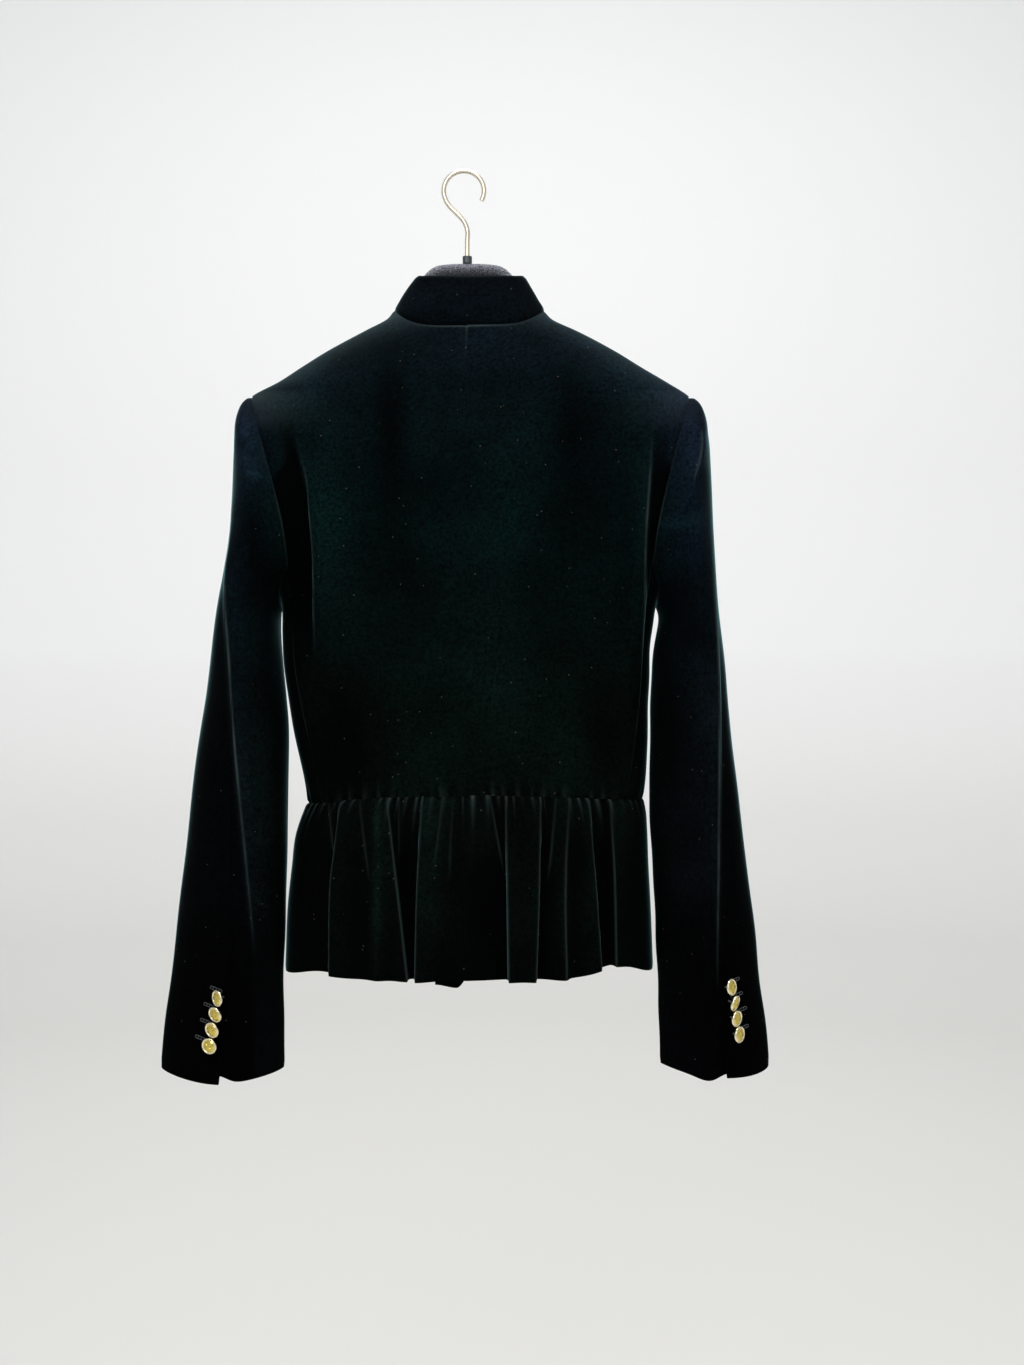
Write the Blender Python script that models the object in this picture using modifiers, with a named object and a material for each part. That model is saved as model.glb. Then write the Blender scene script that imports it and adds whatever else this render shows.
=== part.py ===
"""A velvet peplum jacket on a flocked hanger, modelled with its back towards -Y.

The origin is the inner top of the hanger's hook. Sizes are in millimetres until they
become mesh points. A side is -1 for the wearer's left and +1 for the right, and a face
is -1 for the back of the jacket and +1 for the front.
"""

import math

import bmesh
import bpy
import numpy as np
from mathutils import Vector

for old in list(bpy.data.objects):
    bpy.data.objects.remove(old, do_unlink=True)

MM = 0.001
LEFT = -1
RIGHT = 1
BACK = -1
FRONT = 1
SIDE_NAMES = {LEFT: "left", RIGHT: "right"}
FACE_NAMES = {BACK: "back", FRONT: "front"}

# Where the jacket hangs, and how thick its cloth is
JACKET_X = 3.9
BODY_WALL = 2.0
SLEEVE_WALL = 2.0
PEPLUM_WALL = 1.2
COLLAR_WALL = 3.0
HALF_SEAM = 0.25
SEAM = 0.5
WAIST_GAP = 0.9
ARMHOLE_GAP = 1.2
HALF_SHOULDER = 0.4
COLLAR_GAP = 0.8
SLEEVE_GAP = 0.7

# The body, a row per level. Above the underarm the widths run on past the armhole.
ROUNDNESS = 2.6
BODY_COLUMNS = ("z", "left", "right", "back", "front")
BODY = np.array([
    (-121.0, 64.0, 66.0, 38.0, 42.0),
    (-131.0, 72.0, 75.5, 44.0, 47.0),
    (-141.5, 92.0, 98.0, 49.0, 52.0),
    (-159.0, 124.0, 130.0, 55.0, 58.0),
    (-173.0, 146.0, 152.0, 59.0, 62.0),
    (-187.0, 168.0, 176.0, 62.0, 66.0),
    (-196.0, 186.0, 191.0, 63.0, 68.0),
    (-220.0, 197.0, 200.0, 66.0, 73.0),
    (-260.0, 200.0, 204.0, 70.0, 79.0),
    (-300.0, 194.0, 199.0, 72.0, 83.0),
    (-345.0, 172.0, 177.0, 74.0, 85.0),
    (-375.0, 162.0, 163.0, 74.0, 85.0),
    (-400.0, 161.0, 159.5, 74.0, 84.0),
    (-425.0, 159.5, 157.5, 74.0, 82.0),
    (-450.0, 156.5, 156.5, 74.0, 80.0),
    (-480.0, 152.0, 155.5, 73.0, 78.0),
    (-521.0, 143.0, 154.5, 72.0, 75.0),
    (-549.0, 138.0, 151.0, 72.0, 74.0),
])

# The outer edge of the back and front panels, down the armhole and then the seam
EDGE_COLUMNS = ("z", "left", "right")
EDGE = np.array([
    (-196.0, 186.0, 191.0),
    (-222.0, 178.5, 183.0),
    (-250.0, 170.0, 175.0),
    (-280.0, 161.0, 167.0),
    (-312.0, 153.5, 160.0),
    (-345.0, 150.0, 156.0),
    (-385.0, 149.0, 152.0),
    (-425.0, 147.0, 149.5),
    (-470.0, 139.0, 146.0),
    (-510.0, 129.0, 139.0),
    (-549.0, 119.0, 131.0),
])
SHOULDER_Z = -196.0
ARMHOLE_SEAM_Z = -345.0
UNDERARM_Z = -375.0

# Panel rows, from the neck down: level at the outer edge, at the back's middle, at the front's
ROW_COLUMNS = ("edge", "back", "front")
ROWS = np.array([
    (-121.0, -143.0, -190.0),
    (-146.0, -160.0, -203.0),
    (-171.0, -179.0, -218.0),
    (-196.0, -200.0, -233.0),
    (-224.0, -226.0, -252.0),
    (-254.0, -255.0, -274.0),
    (-284.0, -284.0, -298.0),
    (-314.0, -314.0, -324.0),
    (-345.0, -345.0, -351.0),
    (-390.0, -390.0, -398.0),
    (-435.0, -434.0, -445.0),
    (-480.0, -476.0, -491.0),
    (-516.0, -509.0, -530.0),
    (-547.0, -537.0, -562.0),
])
PANEL_COLUMNS = 10
SIDE_COLUMNS = 8
SIDE_ROWS = 7
SIDE_EASE = 0.05
NECK_SWEEP = 2.4
BACK_NECK_SWEEP = 5.0
WAIST_SIDE_Z = {LEFT: -547.0, RIGHT: -543.0}

# The right front laps over the left one
LAP = 34.0
UNDERLAP = 2.0
LAP_LIFT = 4.2
LAP_FLAT = 6.0
LAP_END = 32.0

# Long soft folds of the back: place at the top and at the bottom, depth, width, levels
BACK_FOLD_COLUMNS = ("top_x", "low_x", "depth", "width", "top_z", "low_z")
BACK_FOLDS = np.array([
    (-62.0, -78.0, 4.5, 24.0, -165.0, -530.0),
    (74.0, 78.0, 4.5, 24.0, -165.0, -530.0),
    (-131.0, -129.0, 6.0, 8.0, -225.0, -430.0),
    (139.0, 133.0, 6.0, 8.0, -225.0, -430.0),
])
FOLD_EASE = 20.0

# The stand collar's upper edge, a row per station from the back's middle to the front's
COLLAR_COLUMNS = ("turn", "x", "y", "z")
COLLAR_TOP = np.array([
    (0.0, 0.0, -41.0, -99.5),
    (0.18, 22.0, -40.0, -99.0),
    (0.32, 39.0, -35.0, -98.0),
    (0.42, 45.0, -22.0, -94.5),
    (0.50, 46.5, -6.0, -91.5),
    (0.62, 46.0, 15.0, -95.0),
    (0.76, 37.0, 40.0, -115.0),
    (0.90, 17.0, 56.0, -139.0),
    (1.0, 0.0, 60.0, -148.0),
])
COLLAR_STATIONS = 32
COLLAR_ROWS = 5
COLLAR_END = 1.6
COLLAR_X = 2.2

# The peplum, a row per depth below the waist
PEPLUM_COLUMNS = ("drop", "left", "right", "back", "front")
PEPLUM = np.array([
    (0.0, 138.0, 151.0, 72.0, 74.0),
    (14.0, 144.0, 154.0, 77.0, 79.0),
    (28.0, 148.5, 155.0, 80.0, 83.0),
    (56.0, 152.0, 156.0, 84.0, 88.0),
    (84.0, 155.0, 157.5, 87.0, 92.0),
    (146.0, 157.5, 160.0, 91.0, 97.0),
])
PEPLUM_DROPS = (0.0, 7.0, 16.0, 34.0, 66.0, 104.0, 146.0)
HEM_Z = {BACK: -685.0, FRONT: -710.0}
HEM_SIDE_Z = -690.0
HEM_LIFT = {LEFT: 6.0, RIGHT: 11.0}
HEM_LIFT_AT = 0.78
HEM_LIFT_WIDTH = 0.16
LAP_CORNER_DROP = 19.0
LAP_CORNER_RISE = 3.0
LAP_CORNER_FROM = 4.0
LAP_CORNER_TO = -14.0
PUCKERS = {BACK: 19, FRONT: 12}
PUCKER_COLUMNS = 3
PUCKER_DEPTH = 1.1
PUCKER_FADE = 15.0

# The peplum's larger folds: face, place at the waist and at the hem, height, width
FOLD_COLUMNS = ("face", "waist_x", "hem_x", "height", "width")
FOLDS = np.array([
    (BACK, -104.0, -111.0, 5.0, 9.0),
    (BACK, -70.0, -72.0, 3.5, 10.0),
    (BACK, -60.0, -46.0, 5.0, 9.0),
    (BACK, -34.0, -39.0, 5.0, 8.0),
    (BACK, 23.0, 38.0, 5.5, 9.0),
    (BACK, 66.0, 62.0, 5.0, 8.0),
    (BACK, 89.0, 86.0, 4.5, 8.0),
    (BACK, 106.0, 117.0, 5.0, 8.0),
    (FRONT, -112.0, -118.0, 5.0, 11.0),
    (FRONT, -76.0, -70.0, 5.0, 11.0),
    (FRONT, -44.0, -48.0, 4.0, 10.0),
    (FRONT, 52.0, 56.0, 4.0, 10.0),
    (FRONT, 84.0, 80.0, 5.0, 11.0),
    (FRONT, 116.0, 124.0, 5.0, 11.0),
])
FOLD_AT_WAIST = 0.2
FOLD_FULL_AT = 0.8
FOLD_TIGHT = 0.7
FOLD_OPENING = 0.5

# The sleeves, a row per level: outer and inner edge, half depth, how far the ridge leans out
SLEEVE_COLUMNS = ("z", "outer", "inner", "depth", "lean")
SLEEVES = {
    LEFT: np.array([
        (-190.0, 194.0, 130.0, 22.0, 0.0),
        (-200.0, 199.0, 131.0, 34.0, 0.0),
        (-212.0, 201.0, 133.0, 43.0, 0.0),
        (-235.0, 202.0, 137.0, 54.0, 0.0),
        (-265.0, 203.0, 143.0, 62.0, 0.0),
        (-312.0, 205.5, 153.0, 69.0, 0.0),
        (-345.0, 209.5, 159.0, 71.0, 0.0),
        (-378.0, 214.0, 164.0, 71.0, 2.0),
        (-428.0, 221.0, 162.5, 66.0, 3.0),
        (-455.0, 226.0, 160.0, 63.0, 1.0),
        (-480.0, 230.5, 157.5, 60.0, 0.0),
        (-535.0, 239.0, 157.5, 52.0, -3.0),
        (-591.0, 246.0, 158.0, 44.0, -5.0),
        (-646.0, 252.7, 159.5, 36.0, -7.0),
        (-702.0, 259.0, 160.5, 29.0, -8.5),
        (-758.0, 266.0, 160.0, 23.0, -3.5),
        (-790.0, 268.5, 159.5, 21.0, 0.0),
    ]),
    RIGHT: np.array([
        (-190.0, 200.0, 132.0, 22.0, 0.0),
        (-200.0, 204.5, 133.0, 34.0, 0.0),
        (-212.0, 206.5, 135.0, 43.0, 0.0),
        (-235.0, 208.5, 140.0, 54.0, 0.0),
        (-265.0, 210.0, 146.0, 62.0, 0.0),
        (-312.0, 211.0, 156.0, 69.0, 2.0),
        (-345.0, 211.5, 161.5, 71.0, 4.0),
        (-378.0, 213.0, 165.5, 71.0, 6.0),
        (-428.0, 218.0, 160.5, 66.0, 8.0),
        (-455.0, 221.0, 159.0, 63.0, 8.0),
        (-480.0, 224.5, 158.5, 60.0, 8.0),
        (-535.0, 232.0, 157.5, 52.0, 7.0),
        (-591.0, 240.0, 160.0, 44.0, 5.0),
        (-646.0, 247.0, 162.5, 36.0, 3.0),
        (-702.0, 253.5, 164.5, 29.0, 2.5),
        (-758.0, 259.7, 166.5, 23.0, 6.5),
        (-790.0, 261.0, 167.0, 21.0, 9.0),
    ]),
}
SLEEVE_STEPS = (0.0, 0.008, 0.02, 0.045, 0.08, 0.13, 0.2, 0.29, 0.39, 0.5, 0.62, 0.74, 0.87, 1.0)
SLEEVE_ARC = 8
CAP_SPREAD = 0.045
HEAD_ROLL = 4.0
HEAD_ROLL_AT = 0.014
CUFF_Z = {LEFT: -777.0, RIGHT: -774.0}
CUFF_DIP = 9.0

# The cuff buttons on each sleeve, from the top one down: x and level
BUTTONS = {
    LEFT: ((-210.7, -711.0), (-213.2, -725.0), (-216.4, -738.6), (-219.4, -752.8)),
    RIGHT: ((222.5, -701.6), (225.5, -715.2), (227.5, -728.8), (230.0, -742.8)),
}
BUTTON_PROFILE = ((0.0, 4.0), (3.6, 3.3), (5.5, 2.0), (6.2, 2.5), (7.1, 1.7), (6.3, 0.0), (0.0, 0.0))
BUTTON_STEPS = 12
BUTTON_LIFT = 1.0

# The hanger: half of its bar from the middle outwards, its ferrule and its hook
BAR_POINTS = ((0.0, -84.4), (15.0, -84.6), (28.0, -87.0), (36.0, -95.0), (41.0, -110.0),
              (52.0, -126.0), (68.0, -138.0), (116.0, -166.5), (158.0, -193.0))
BAR_RADIUS = 5.5
FERRULE_RADIUS = 4.1
FERRULE_SIDES = 16
FERRULE_TOP = -72.6
FERRULE_BOTTOM = -78.5
STEM_X = 3.0
STEM_TOP = -47.5
WIRE_RADIUS = 2.15
WIRE_SMOOTHNESS = 2
HOOK_RADIUS = 15.4 + WIRE_RADIUS
HOOK_START = 204.0
HOOK_END = -28.0
HOOK_STEPS = 16

parts = bpy.data.collections.new("velvet_jacket_on_hanger")
bpy.context.scene.collection.children.link(parts)


def material(name, colour, roughness, metallic=0.0):
    """A plain surface of one colour."""
    made = bpy.data.materials.new(name)
    made.use_nodes = True
    shader = made.node_tree.nodes["Principled BSDF"]
    shader.inputs["Base Color"].default_value = (*colour, 1.0)
    shader.inputs["Roughness"].default_value = roughness
    shader.inputs["Metallic"].default_value = metallic
    return made


VELVET = material("velvet", (0.004, 0.010, 0.010), 0.9)
GOLD = material("gold_button_metal", (0.80, 0.52, 0.18), 0.25, 1.0)
FLOCK = material("hanger_flock", (0.008, 0.008, 0.009), 0.95)
WIRE = material("hook_wire", (0.66, 0.58, 0.44), 0.3, 1.0)
FERRULE = material("ferrule_metal", (0.05, 0.05, 0.05), 0.4, 1.0)


def smooth(low, high, value):
    """A soft step from 0 to 1."""
    t = np.clip((np.asarray(value, float) - low) / (high - low), 0.0, 1.0)
    return t * t * (3.0 - 2.0 * t)


def through(keys, values, at):
    """A smooth curve through a table's values."""
    order = np.argsort(keys)
    k = np.asarray(keys, float)[order]
    v = np.asarray(values, float)[order]
    slope = np.gradient(v, k)
    at = np.clip(np.asarray(at, float), k[0], k[-1])
    i = np.clip(np.searchsorted(k, at) - 1, 0, len(k) - 2)
    step = k[i + 1] - k[i]
    t = (at - k[i]) / step
    start = (1.0 + 2.0 * t) * (1.0 - t) ** 2 * v[i] + t * (1.0 - t) ** 2 * step * slope[i]
    end = t * t * (3.0 - 2.0 * t) * v[i + 1] + t * t * (t - 1.0) * step * slope[i + 1]
    return start + end


def read(table, columns, name, at):
    """One column of a table, at any place along its first column."""
    return through(table[:, 0], table[:, columns.index(name)], at)


def half_width(side, z):
    return read(BODY, BODY_COLUMNS, SIDE_NAMES[side], z)


def half_depth(face, z):
    return read(BODY, BODY_COLUMNS, FACE_NAMES[face], z)


def edge_x(side, z):
    """The outer edge of a back or front panel: shoulder seam, armhole, long seam."""
    low = read(EDGE, EDGE_COLUMNS, SIDE_NAMES[side], z)
    return np.where(np.asarray(z) >= SHOULDER_Z, half_width(side, z), low)


def back_fold(x, z):
    """How far the long soft folds sink into the back."""
    sunk = np.zeros_like(x)
    for top_x, low_x, deep, width, top_z, low_z in BACK_FOLDS:
        along = np.clip((z - top_z) / (low_z - top_z), 0.0, 1.0)
        middle = top_x + (low_x - top_x) * along
        sunk += deep * np.sin(np.pi * along) * np.exp(-(((x - middle) / width) ** 2))
    return sunk


def body_y(side, face, x, z):
    """Depth of the body's surface; x counts outwards from the middle."""
    ratio = np.clip(np.abs(x) / half_width(side, z), 0.0, 1.0)
    y = half_depth(face, z) * (1.0 - ratio ** ROUNDNESS) ** (1.0 / ROUNDNESS)
    if face == BACK:
        y = y - back_fold(side * x, z) * smooth(0.0, FOLD_EASE, y)
    return face * y


def lap_lift(x):
    """How far the right front stands off where it laps over the left one."""
    return LAP_LIFT * (1.0 - smooth(LAP_FLAT, LAP_END, x))


def waist_z(side, face, ratio):
    """Level of the waist seam; ratio is 0 in the middle of a face and 1 at the side."""
    middle = ROWS[-1, ROW_COLUMNS.index(FACE_NAMES[face])]
    return middle + (WAIST_SIDE_Z[side] - middle) * np.clip(np.abs(ratio), 0.0, 1.0) ** NECK_SWEEP


def panel_points(side, face):
    """A back or front panel from its middle edge to its outer edge, neck to waist."""
    edge_z = ROWS[:, 0]
    middle_z = ROWS[:, ROW_COLUMNS.index(FACE_NAMES[face])]
    start = HALF_SEAM
    if face == FRONT:
        start = -LAP if side == RIGHT else -UNDERLAP
    across = np.sin(np.linspace(0.0, 1.0, PANEL_COLUMNS + 1) * np.pi / 2)
    rows = []
    for outer_z, inner_z in zip(edge_z, middle_z):
        outer_x = float(edge_x(side, outer_z)) - HALF_SEAM
        x = start + (outer_x - start) * across
        sweep = BACK_NECK_SWEEP if face == BACK and outer_z == edge_z[0] else NECK_SWEEP
        z = inner_z + (outer_z - inner_z) * np.clip(x / outer_x, 0.0, 1.0) ** sweep
        if outer_z == edge_z[-1]:
            z = waist_z(side, face, x / half_width(side, outer_z))
        y = body_y(side, face, x, z)
        if outer_z >= SHOULDER_Z:
            y[-1] = 0.0
        y = y + face * HALF_SHOULDER
        if face == FRONT and side == RIGHT:
            y = y + lap_lift(x)
        rows.append(np.stack([side * x, y, z], axis=1))
    return np.array(rows)


def side_turn(side, z, across):
    """A point of the side panel: across runs from the back seam (-1) to the front (+1)."""
    width = half_width(side, z)
    seam = np.arcsin((edge_x(side, z) / width) ** (ROUNDNESS / 2))
    turn = np.pi / 2 - np.abs(across) * (np.pi / 2 - seam)
    x = width * np.sin(turn) ** (2 / ROUNDNESS)
    deep = np.where(across < 0, -half_depth(BACK, z), half_depth(FRONT, z))
    y = deep * np.abs(np.cos(turn)) ** (2 / ROUNDNESS)
    return x, y


def side_points(side):
    """A side panel, from the bottom of the armhole to the waist."""
    reach = 1.0 - SIDE_EASE
    across = np.linspace(-reach, reach, SIDE_COLUMNS + 1)
    top = UNDERARM_Z + (ARMHOLE_SEAM_Z - UNDERARM_Z) * across ** 2 - HALF_SEAM
    edge_ratio = edge_x(side, WAIST_SIDE_Z[side]) / half_width(side, WAIST_SIDE_Z[side])
    ratio = 1.0 - (1.0 - edge_ratio) * across ** 2
    low = np.where(across < 0, waist_z(side, BACK, ratio), waist_z(side, FRONT, ratio))
    rows = []
    for step in np.linspace(0.0, 1.0, SIDE_ROWS + 1):
        z = top + (low - top) * step
        x, y = side_turn(side, z, across)
        rows.append(np.stack([side * x, y, z], axis=1))
    return np.array(rows)


def armhole(side, turn):
    """The armhole's edge; turn is 0 at the shoulder, a right angle at the back."""
    face = BACK if math.sin(turn) >= 0 else FRONT
    z = SHOULDER_Z + (UNDERARM_Z - SHOULDER_Z) * (1.0 - math.cos(turn)) / 2
    if z >= ARMHOLE_SEAM_Z:
        x = edge_x(side, z)
        y = body_y(side, face, x, z)
    else:
        across = math.sqrt((z - UNDERARM_Z) / (ARMHOLE_SEAM_Z - UNDERARM_Z))
        x, y = side_turn(side, z, np.float64(face * across))
    return np.array([float(x) + ARMHOLE_GAP, float(y), z])


def sleeve_section(side, turn, z):
    """A point of the sleeve's tube at a level."""
    table = SLEEVES[side]
    outer = read(table, SLEEVE_COLUMNS, "outer", z)
    inner = read(table, SLEEVE_COLUMNS, "inner", z)
    deep = read(table, SLEEVE_COLUMNS, "depth", z)
    lean = read(table, SLEEVE_COLUMNS, "lean", z)
    middle = (outer + inner) / 2
    x = middle + (outer - middle) * math.cos(turn) + lean * max(math.sin(turn), 0.0)
    return np.array([float(x), float(-deep * math.sin(turn)), z])


def sleeve_points(side, first, last):
    """Part of a sleeve between two angles round its tube, armhole to cuff."""
    ease = (1.0 - np.cos(np.pi * np.linspace(0.0, 1.0, SLEEVE_ARC + 1))) / 2
    turns = np.radians(first + (last - first) * ease)
    points = np.zeros((len(SLEEVE_STEPS), len(turns), 3))
    for j, turn in enumerate(turns):
        top = armhole(side, turn)
        bottom = CUFF_Z[side] - CUFF_DIP * max(math.sin(turn), 0.0) ** 2
        for i, step in enumerate(SLEEVE_STEPS):
            z = top[2] + (bottom - top[2]) * step
            blend = 1.0 - (1.0 - min(step / CAP_SPREAD, 1.0)) ** 3
            point = top * (1.0 - blend) + sleeve_section(side, turn, z) * blend
            roll = math.exp(-(((step - HEAD_ROLL_AT) / HEAD_ROLL_AT) ** 2)) * (step > 0)
            point[2] = z + HEAD_ROLL * roll * max(math.cos(turn), 0.0) ** 2
            points[i, j] = point
    points[:, :, 0] *= side
    for edge, inside in ((0, 1), (-1, -2)):
        seam = np.gradient(points[:, edge], axis=0)
        seam /= np.linalg.norm(seam, axis=1)[:, None]
        step = points[:, inside] - points[:, edge]
        step -= np.sum(step * seam, axis=1)[:, None] * seam
        points[:, edge] += SLEEVE_GAP * step / np.linalg.norm(step, axis=1)[:, None]
    return points


def neck_points(face, side, count):
    """The neck edge of a panel, from the middle of its face to the shoulder."""
    inner_z = ROWS[0, ROW_COLUMNS.index(FACE_NAMES[face])]
    outer_z = ROWS[0, 0]
    across = np.sin(np.linspace(0.0, 1.0, count) * np.pi / 2)
    x = across * half_width(side, outer_z)
    sweep = BACK_NECK_SWEEP if face == BACK else NECK_SWEEP
    z = inner_z + (outer_z - inner_z) * across ** sweep
    y = body_y(side, face, x, z)
    y[-1] = 0.0
    return np.stack([side * x, y, z], axis=1)


def spread(points, count):
    """Points set evenly along a line of points."""
    run = np.concatenate([[0.0], np.cumsum(np.linalg.norm(np.diff(points, axis=0), axis=1))])
    at = np.linspace(0.0, run[-1], count)
    return np.stack([np.interp(at, run, points[:, k]) for k in range(3)], axis=1)


def collar_points():
    """The stand collar, from its left front end round the back to its right front end."""
    half = COLLAR_STATIONS // 2
    fine = 60
    bottom = []
    top = []
    for side in (LEFT, RIGHT):
        line = np.concatenate([neck_points(BACK, side, fine), neck_points(FRONT, side, fine)[-2::-1]])
        low = spread(line, half + 1)
        turn = np.linspace(0.0, 1.0, half + 1)
        high = np.stack([read(COLLAR_TOP, COLLAR_COLUMNS, name, turn) for name in ("x", "y", "z")], axis=1)
        high[:, 0] = high[:, 0] * side + COLLAR_X
        low[-1, 0] = side * COLLAR_END
        high[-1, 0] = side * COLLAR_END
        if side == LEFT:
            low = low[::-1]
            high = high[::-1]
        else:
            low = low[1:]
            high = high[1:]
        bottom.append(low)
        top.append(high)
    low = np.concatenate(bottom)
    high = np.concatenate(top)
    rise = high - low
    low = low + COLLAR_GAP * rise / np.linalg.norm(rise, axis=1)[:, None]
    steps = np.linspace(0.0, 1.0, COLLAR_ROWS)[:, None, None]
    return low[None] * (1.0 - steps) + high[None] * steps


def peplum_row(side, face, drop, columns, fine=500):
    """One level of a peplum piece, before its height is known."""
    width = read(PEPLUM, PEPLUM_COLUMNS, SIDE_NAMES[side], drop)
    deep = read(PEPLUM, PEPLUM_COLUMNS, FACE_NAMES[face], drop)
    turn = np.linspace(0.0, np.pi / 2, fine)
    x = width * np.sin(turn) ** (2 / ROUNDNESS)
    y = deep * np.cos(turn) ** (2 / ROUNDNESS)
    start = HALF_SEAM
    if face == FRONT:
        start = -LAP if side == RIGHT else -UNDERLAP
        x = np.concatenate([[start], x])
        y = np.concatenate([[deep], y])
    run = np.concatenate([[0.0], np.cumsum(np.hypot(np.diff(x), np.diff(y)))])
    first = HALF_SEAM if face == BACK else 0.0
    at = np.linspace(first, run[-1] - SEAM, columns + 1)
    px = np.interp(at, run, x)
    py = np.interp(at, run, y)
    nx = np.interp(at, run, -np.gradient(y, run))
    ny = np.interp(at, run, np.gradient(x, run))
    length = np.hypot(nx, ny)
    swell = np.zeros_like(at)
    share = drop / PEPLUM_DROPS[-1]
    for fold_face, waist_x, hem_x, height, wide in FOLDS:
        place = side * (waist_x + (hem_x - waist_x) * share)
        if fold_face == face and place > 0:
            middle = np.interp(place, x, run)
            growth = FOLD_AT_WAIST + (1.0 - FOLD_AT_WAIST) * smooth(0.0, FOLD_FULL_AT, share)
            reach = wide * (FOLD_TIGHT + FOLD_OPENING * share)
            swell += height * growth * np.exp(-(((at - middle) / reach) ** 2))
    wave = -np.cos(2 * np.pi * PUCKERS[face] * np.linspace(0.0, 1.0, columns + 1))
    swell += PUCKER_DEPTH * math.exp(-drop / PUCKER_FADE) * wave
    px = px + swell * nx / length
    py = py + swell * ny / length
    if face == FRONT and side == RIGHT:
        py = py + lap_lift(px)
    return px, py


def peplum_points(side, face):
    """A quarter of the gathered peplum, waist to hem."""
    columns = PUCKERS[face] * PUCKER_COLUMNS
    rows = []
    for drop in PEPLUM_DROPS:
        px, py = peplum_row(side, face, drop, columns)
        waist = waist_z(side, face, px / px[-1]) - WAIST_GAP
        outwards = np.clip(px / px[-1], 0.0, 1.0) ** NECK_SWEEP
        hem = HEM_Z[face] + (HEM_SIDE_Z - HEM_Z[face]) * outwards
        if face == BACK:
            hem = hem + HEM_LIFT[side] * np.exp(-(((px / px[-1] - HEM_LIFT_AT) / HEM_LIFT_WIDTH) ** 2))
        elif side == RIGHT:
            hem = hem - LAP_CORNER_DROP * smooth(LAP_CORNER_FROM, LAP_CORNER_TO, px)
            hem = hem + LAP_CORNER_RISE * smooth(LAP_CORNER_TO, -LAP, px)
        z = waist + (hem - waist) * drop / PEPLUM_DROPS[-1]
        rows.append(np.stack([side * px, face * py, z], axis=1))
    return np.array(rows)


def cloth(name, points, wall, core_x):
    """A cloth piece: an open surface through the points, thickened towards its inside."""
    rows, columns = points.shape[:2]
    down = points[1:, :-1] - points[:-1, :-1]
    along = points[:-1, 1:] - points[:-1, :-1]
    normal = np.cross(down, along)
    away = points[:-1, :-1] - np.array([core_x, 0.0, 0.0])
    if np.sum(normal[:, :, :2] * away[:, :, :2]) < 0:
        points = points[:, ::-1]
    mesh = bpy.data.meshes.new(name)
    grid = bmesh.new()
    bmesh.ops.create_grid(grid, x_segments=rows - 1, y_segments=columns - 1, size=0.5)
    for vert in grid.verts:
        i = round((vert.co.x + 0.5) * (rows - 1))
        j = round((vert.co.y + 0.5) * (columns - 1))
        x, y, z = points[i, j]
        vert.co = Vector(((x + JACKET_X) * MM, y * MM, z * MM))
    grid.to_mesh(mesh)
    grid.free()
    mesh.shade_smooth()
    mesh.materials.append(VELVET)
    piece = bpy.data.objects.new(name, mesh)
    parts.objects.link(piece)
    shell = piece.modifiers.new("cloth_wall", "SOLIDIFY")
    shell.thickness = wall * MM
    shell.offset = -1.0
    return piece


# The body: back, side and front panels, and the stand collar
for side in (LEFT, RIGHT):
    word = SIDE_NAMES[side]
    cloth(f"back_{word}", panel_points(side, BACK), BODY_WALL, 0.0)
    cloth(f"side_{word}", side_points(side), BODY_WALL, 0.0)
    cloth(f"front_{word}", panel_points(side, FRONT), BODY_WALL, 0.0)
cloth("collar", collar_points(), COLLAR_WALL, 0.0)

# The two-piece sleeves
for side in (LEFT, RIGHT):
    word = SIDE_NAMES[side]
    core = side * float(np.mean(SLEEVES[side][:, 1:3]))
    top = sleeve_points(side, 90.0, -90.0)
    under = sleeve_points(side, 90.0, 270.0)
    cloth(f"sleeve_{word}_top", top, SLEEVE_WALL, core)
    cloth(f"sleeve_{word}_under", under, SLEEVE_WALL, core)

# The gathered peplum
for side in (LEFT, RIGHT):
    for face in (BACK, FRONT):
        name = f"peplum_{FACE_NAMES[face]}_{SIDE_NAMES[side]}"
        cloth(name, peplum_points(side, face), PEPLUM_WALL, 0.0)


def button(name, side, x, z):
    """A turned button, sitting on the back of a cuff."""
    table = SLEEVES[side]
    outer, inner, deep, lean = (float(read(table, SLEEVE_COLUMNS, key, z)) for key in SLEEVE_COLUMNS[1:])
    half = (outer - inner) / 2
    off = side * x - (outer + inner) / 2
    turn = math.atan2(lean, half) + math.acos(off / math.hypot(half, lean))
    y = -deep * math.sin(turn)
    out_y = lean * math.cos(turn) - half * math.sin(turn)
    out = Vector((side * deep * math.cos(turn), out_y, 0.0)).normalized()
    mesh = bpy.data.meshes.new(name)
    profile = bmesh.new()
    verts = [profile.verts.new((radius * MM, 0.0, height * MM)) for radius, height in BUTTON_PROFILE]
    for above, below in zip(verts[:-1], verts[1:]):
        profile.edges.new((above, below))
    profile.to_mesh(mesh)
    profile.free()
    mesh.materials.append(GOLD)
    made = bpy.data.objects.new(name, mesh)
    parts.objects.link(made)
    turned = made.modifiers.new("turned", "SCREW")
    turned.axis = "Z"
    turned.steps = BUTTON_STEPS
    turned.render_steps = BUTTON_STEPS
    turned.use_merge_vertices = True
    turned.merge_threshold = 0.00001
    made.rotation_mode = "QUATERNION"
    made.rotation_quaternion = Vector((0.0, 0.0, 1.0)).rotation_difference(out)
    made.location = Vector(((x + JACKET_X) * MM, y * MM, z * MM)) + out * BUTTON_LIFT * MM


for side, places in BUTTONS.items():
    for number, (x, level) in enumerate(places, start=1):
        button(f"cuff_button_{SIDE_NAMES[side]}_{number}", side, x, level)


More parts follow.
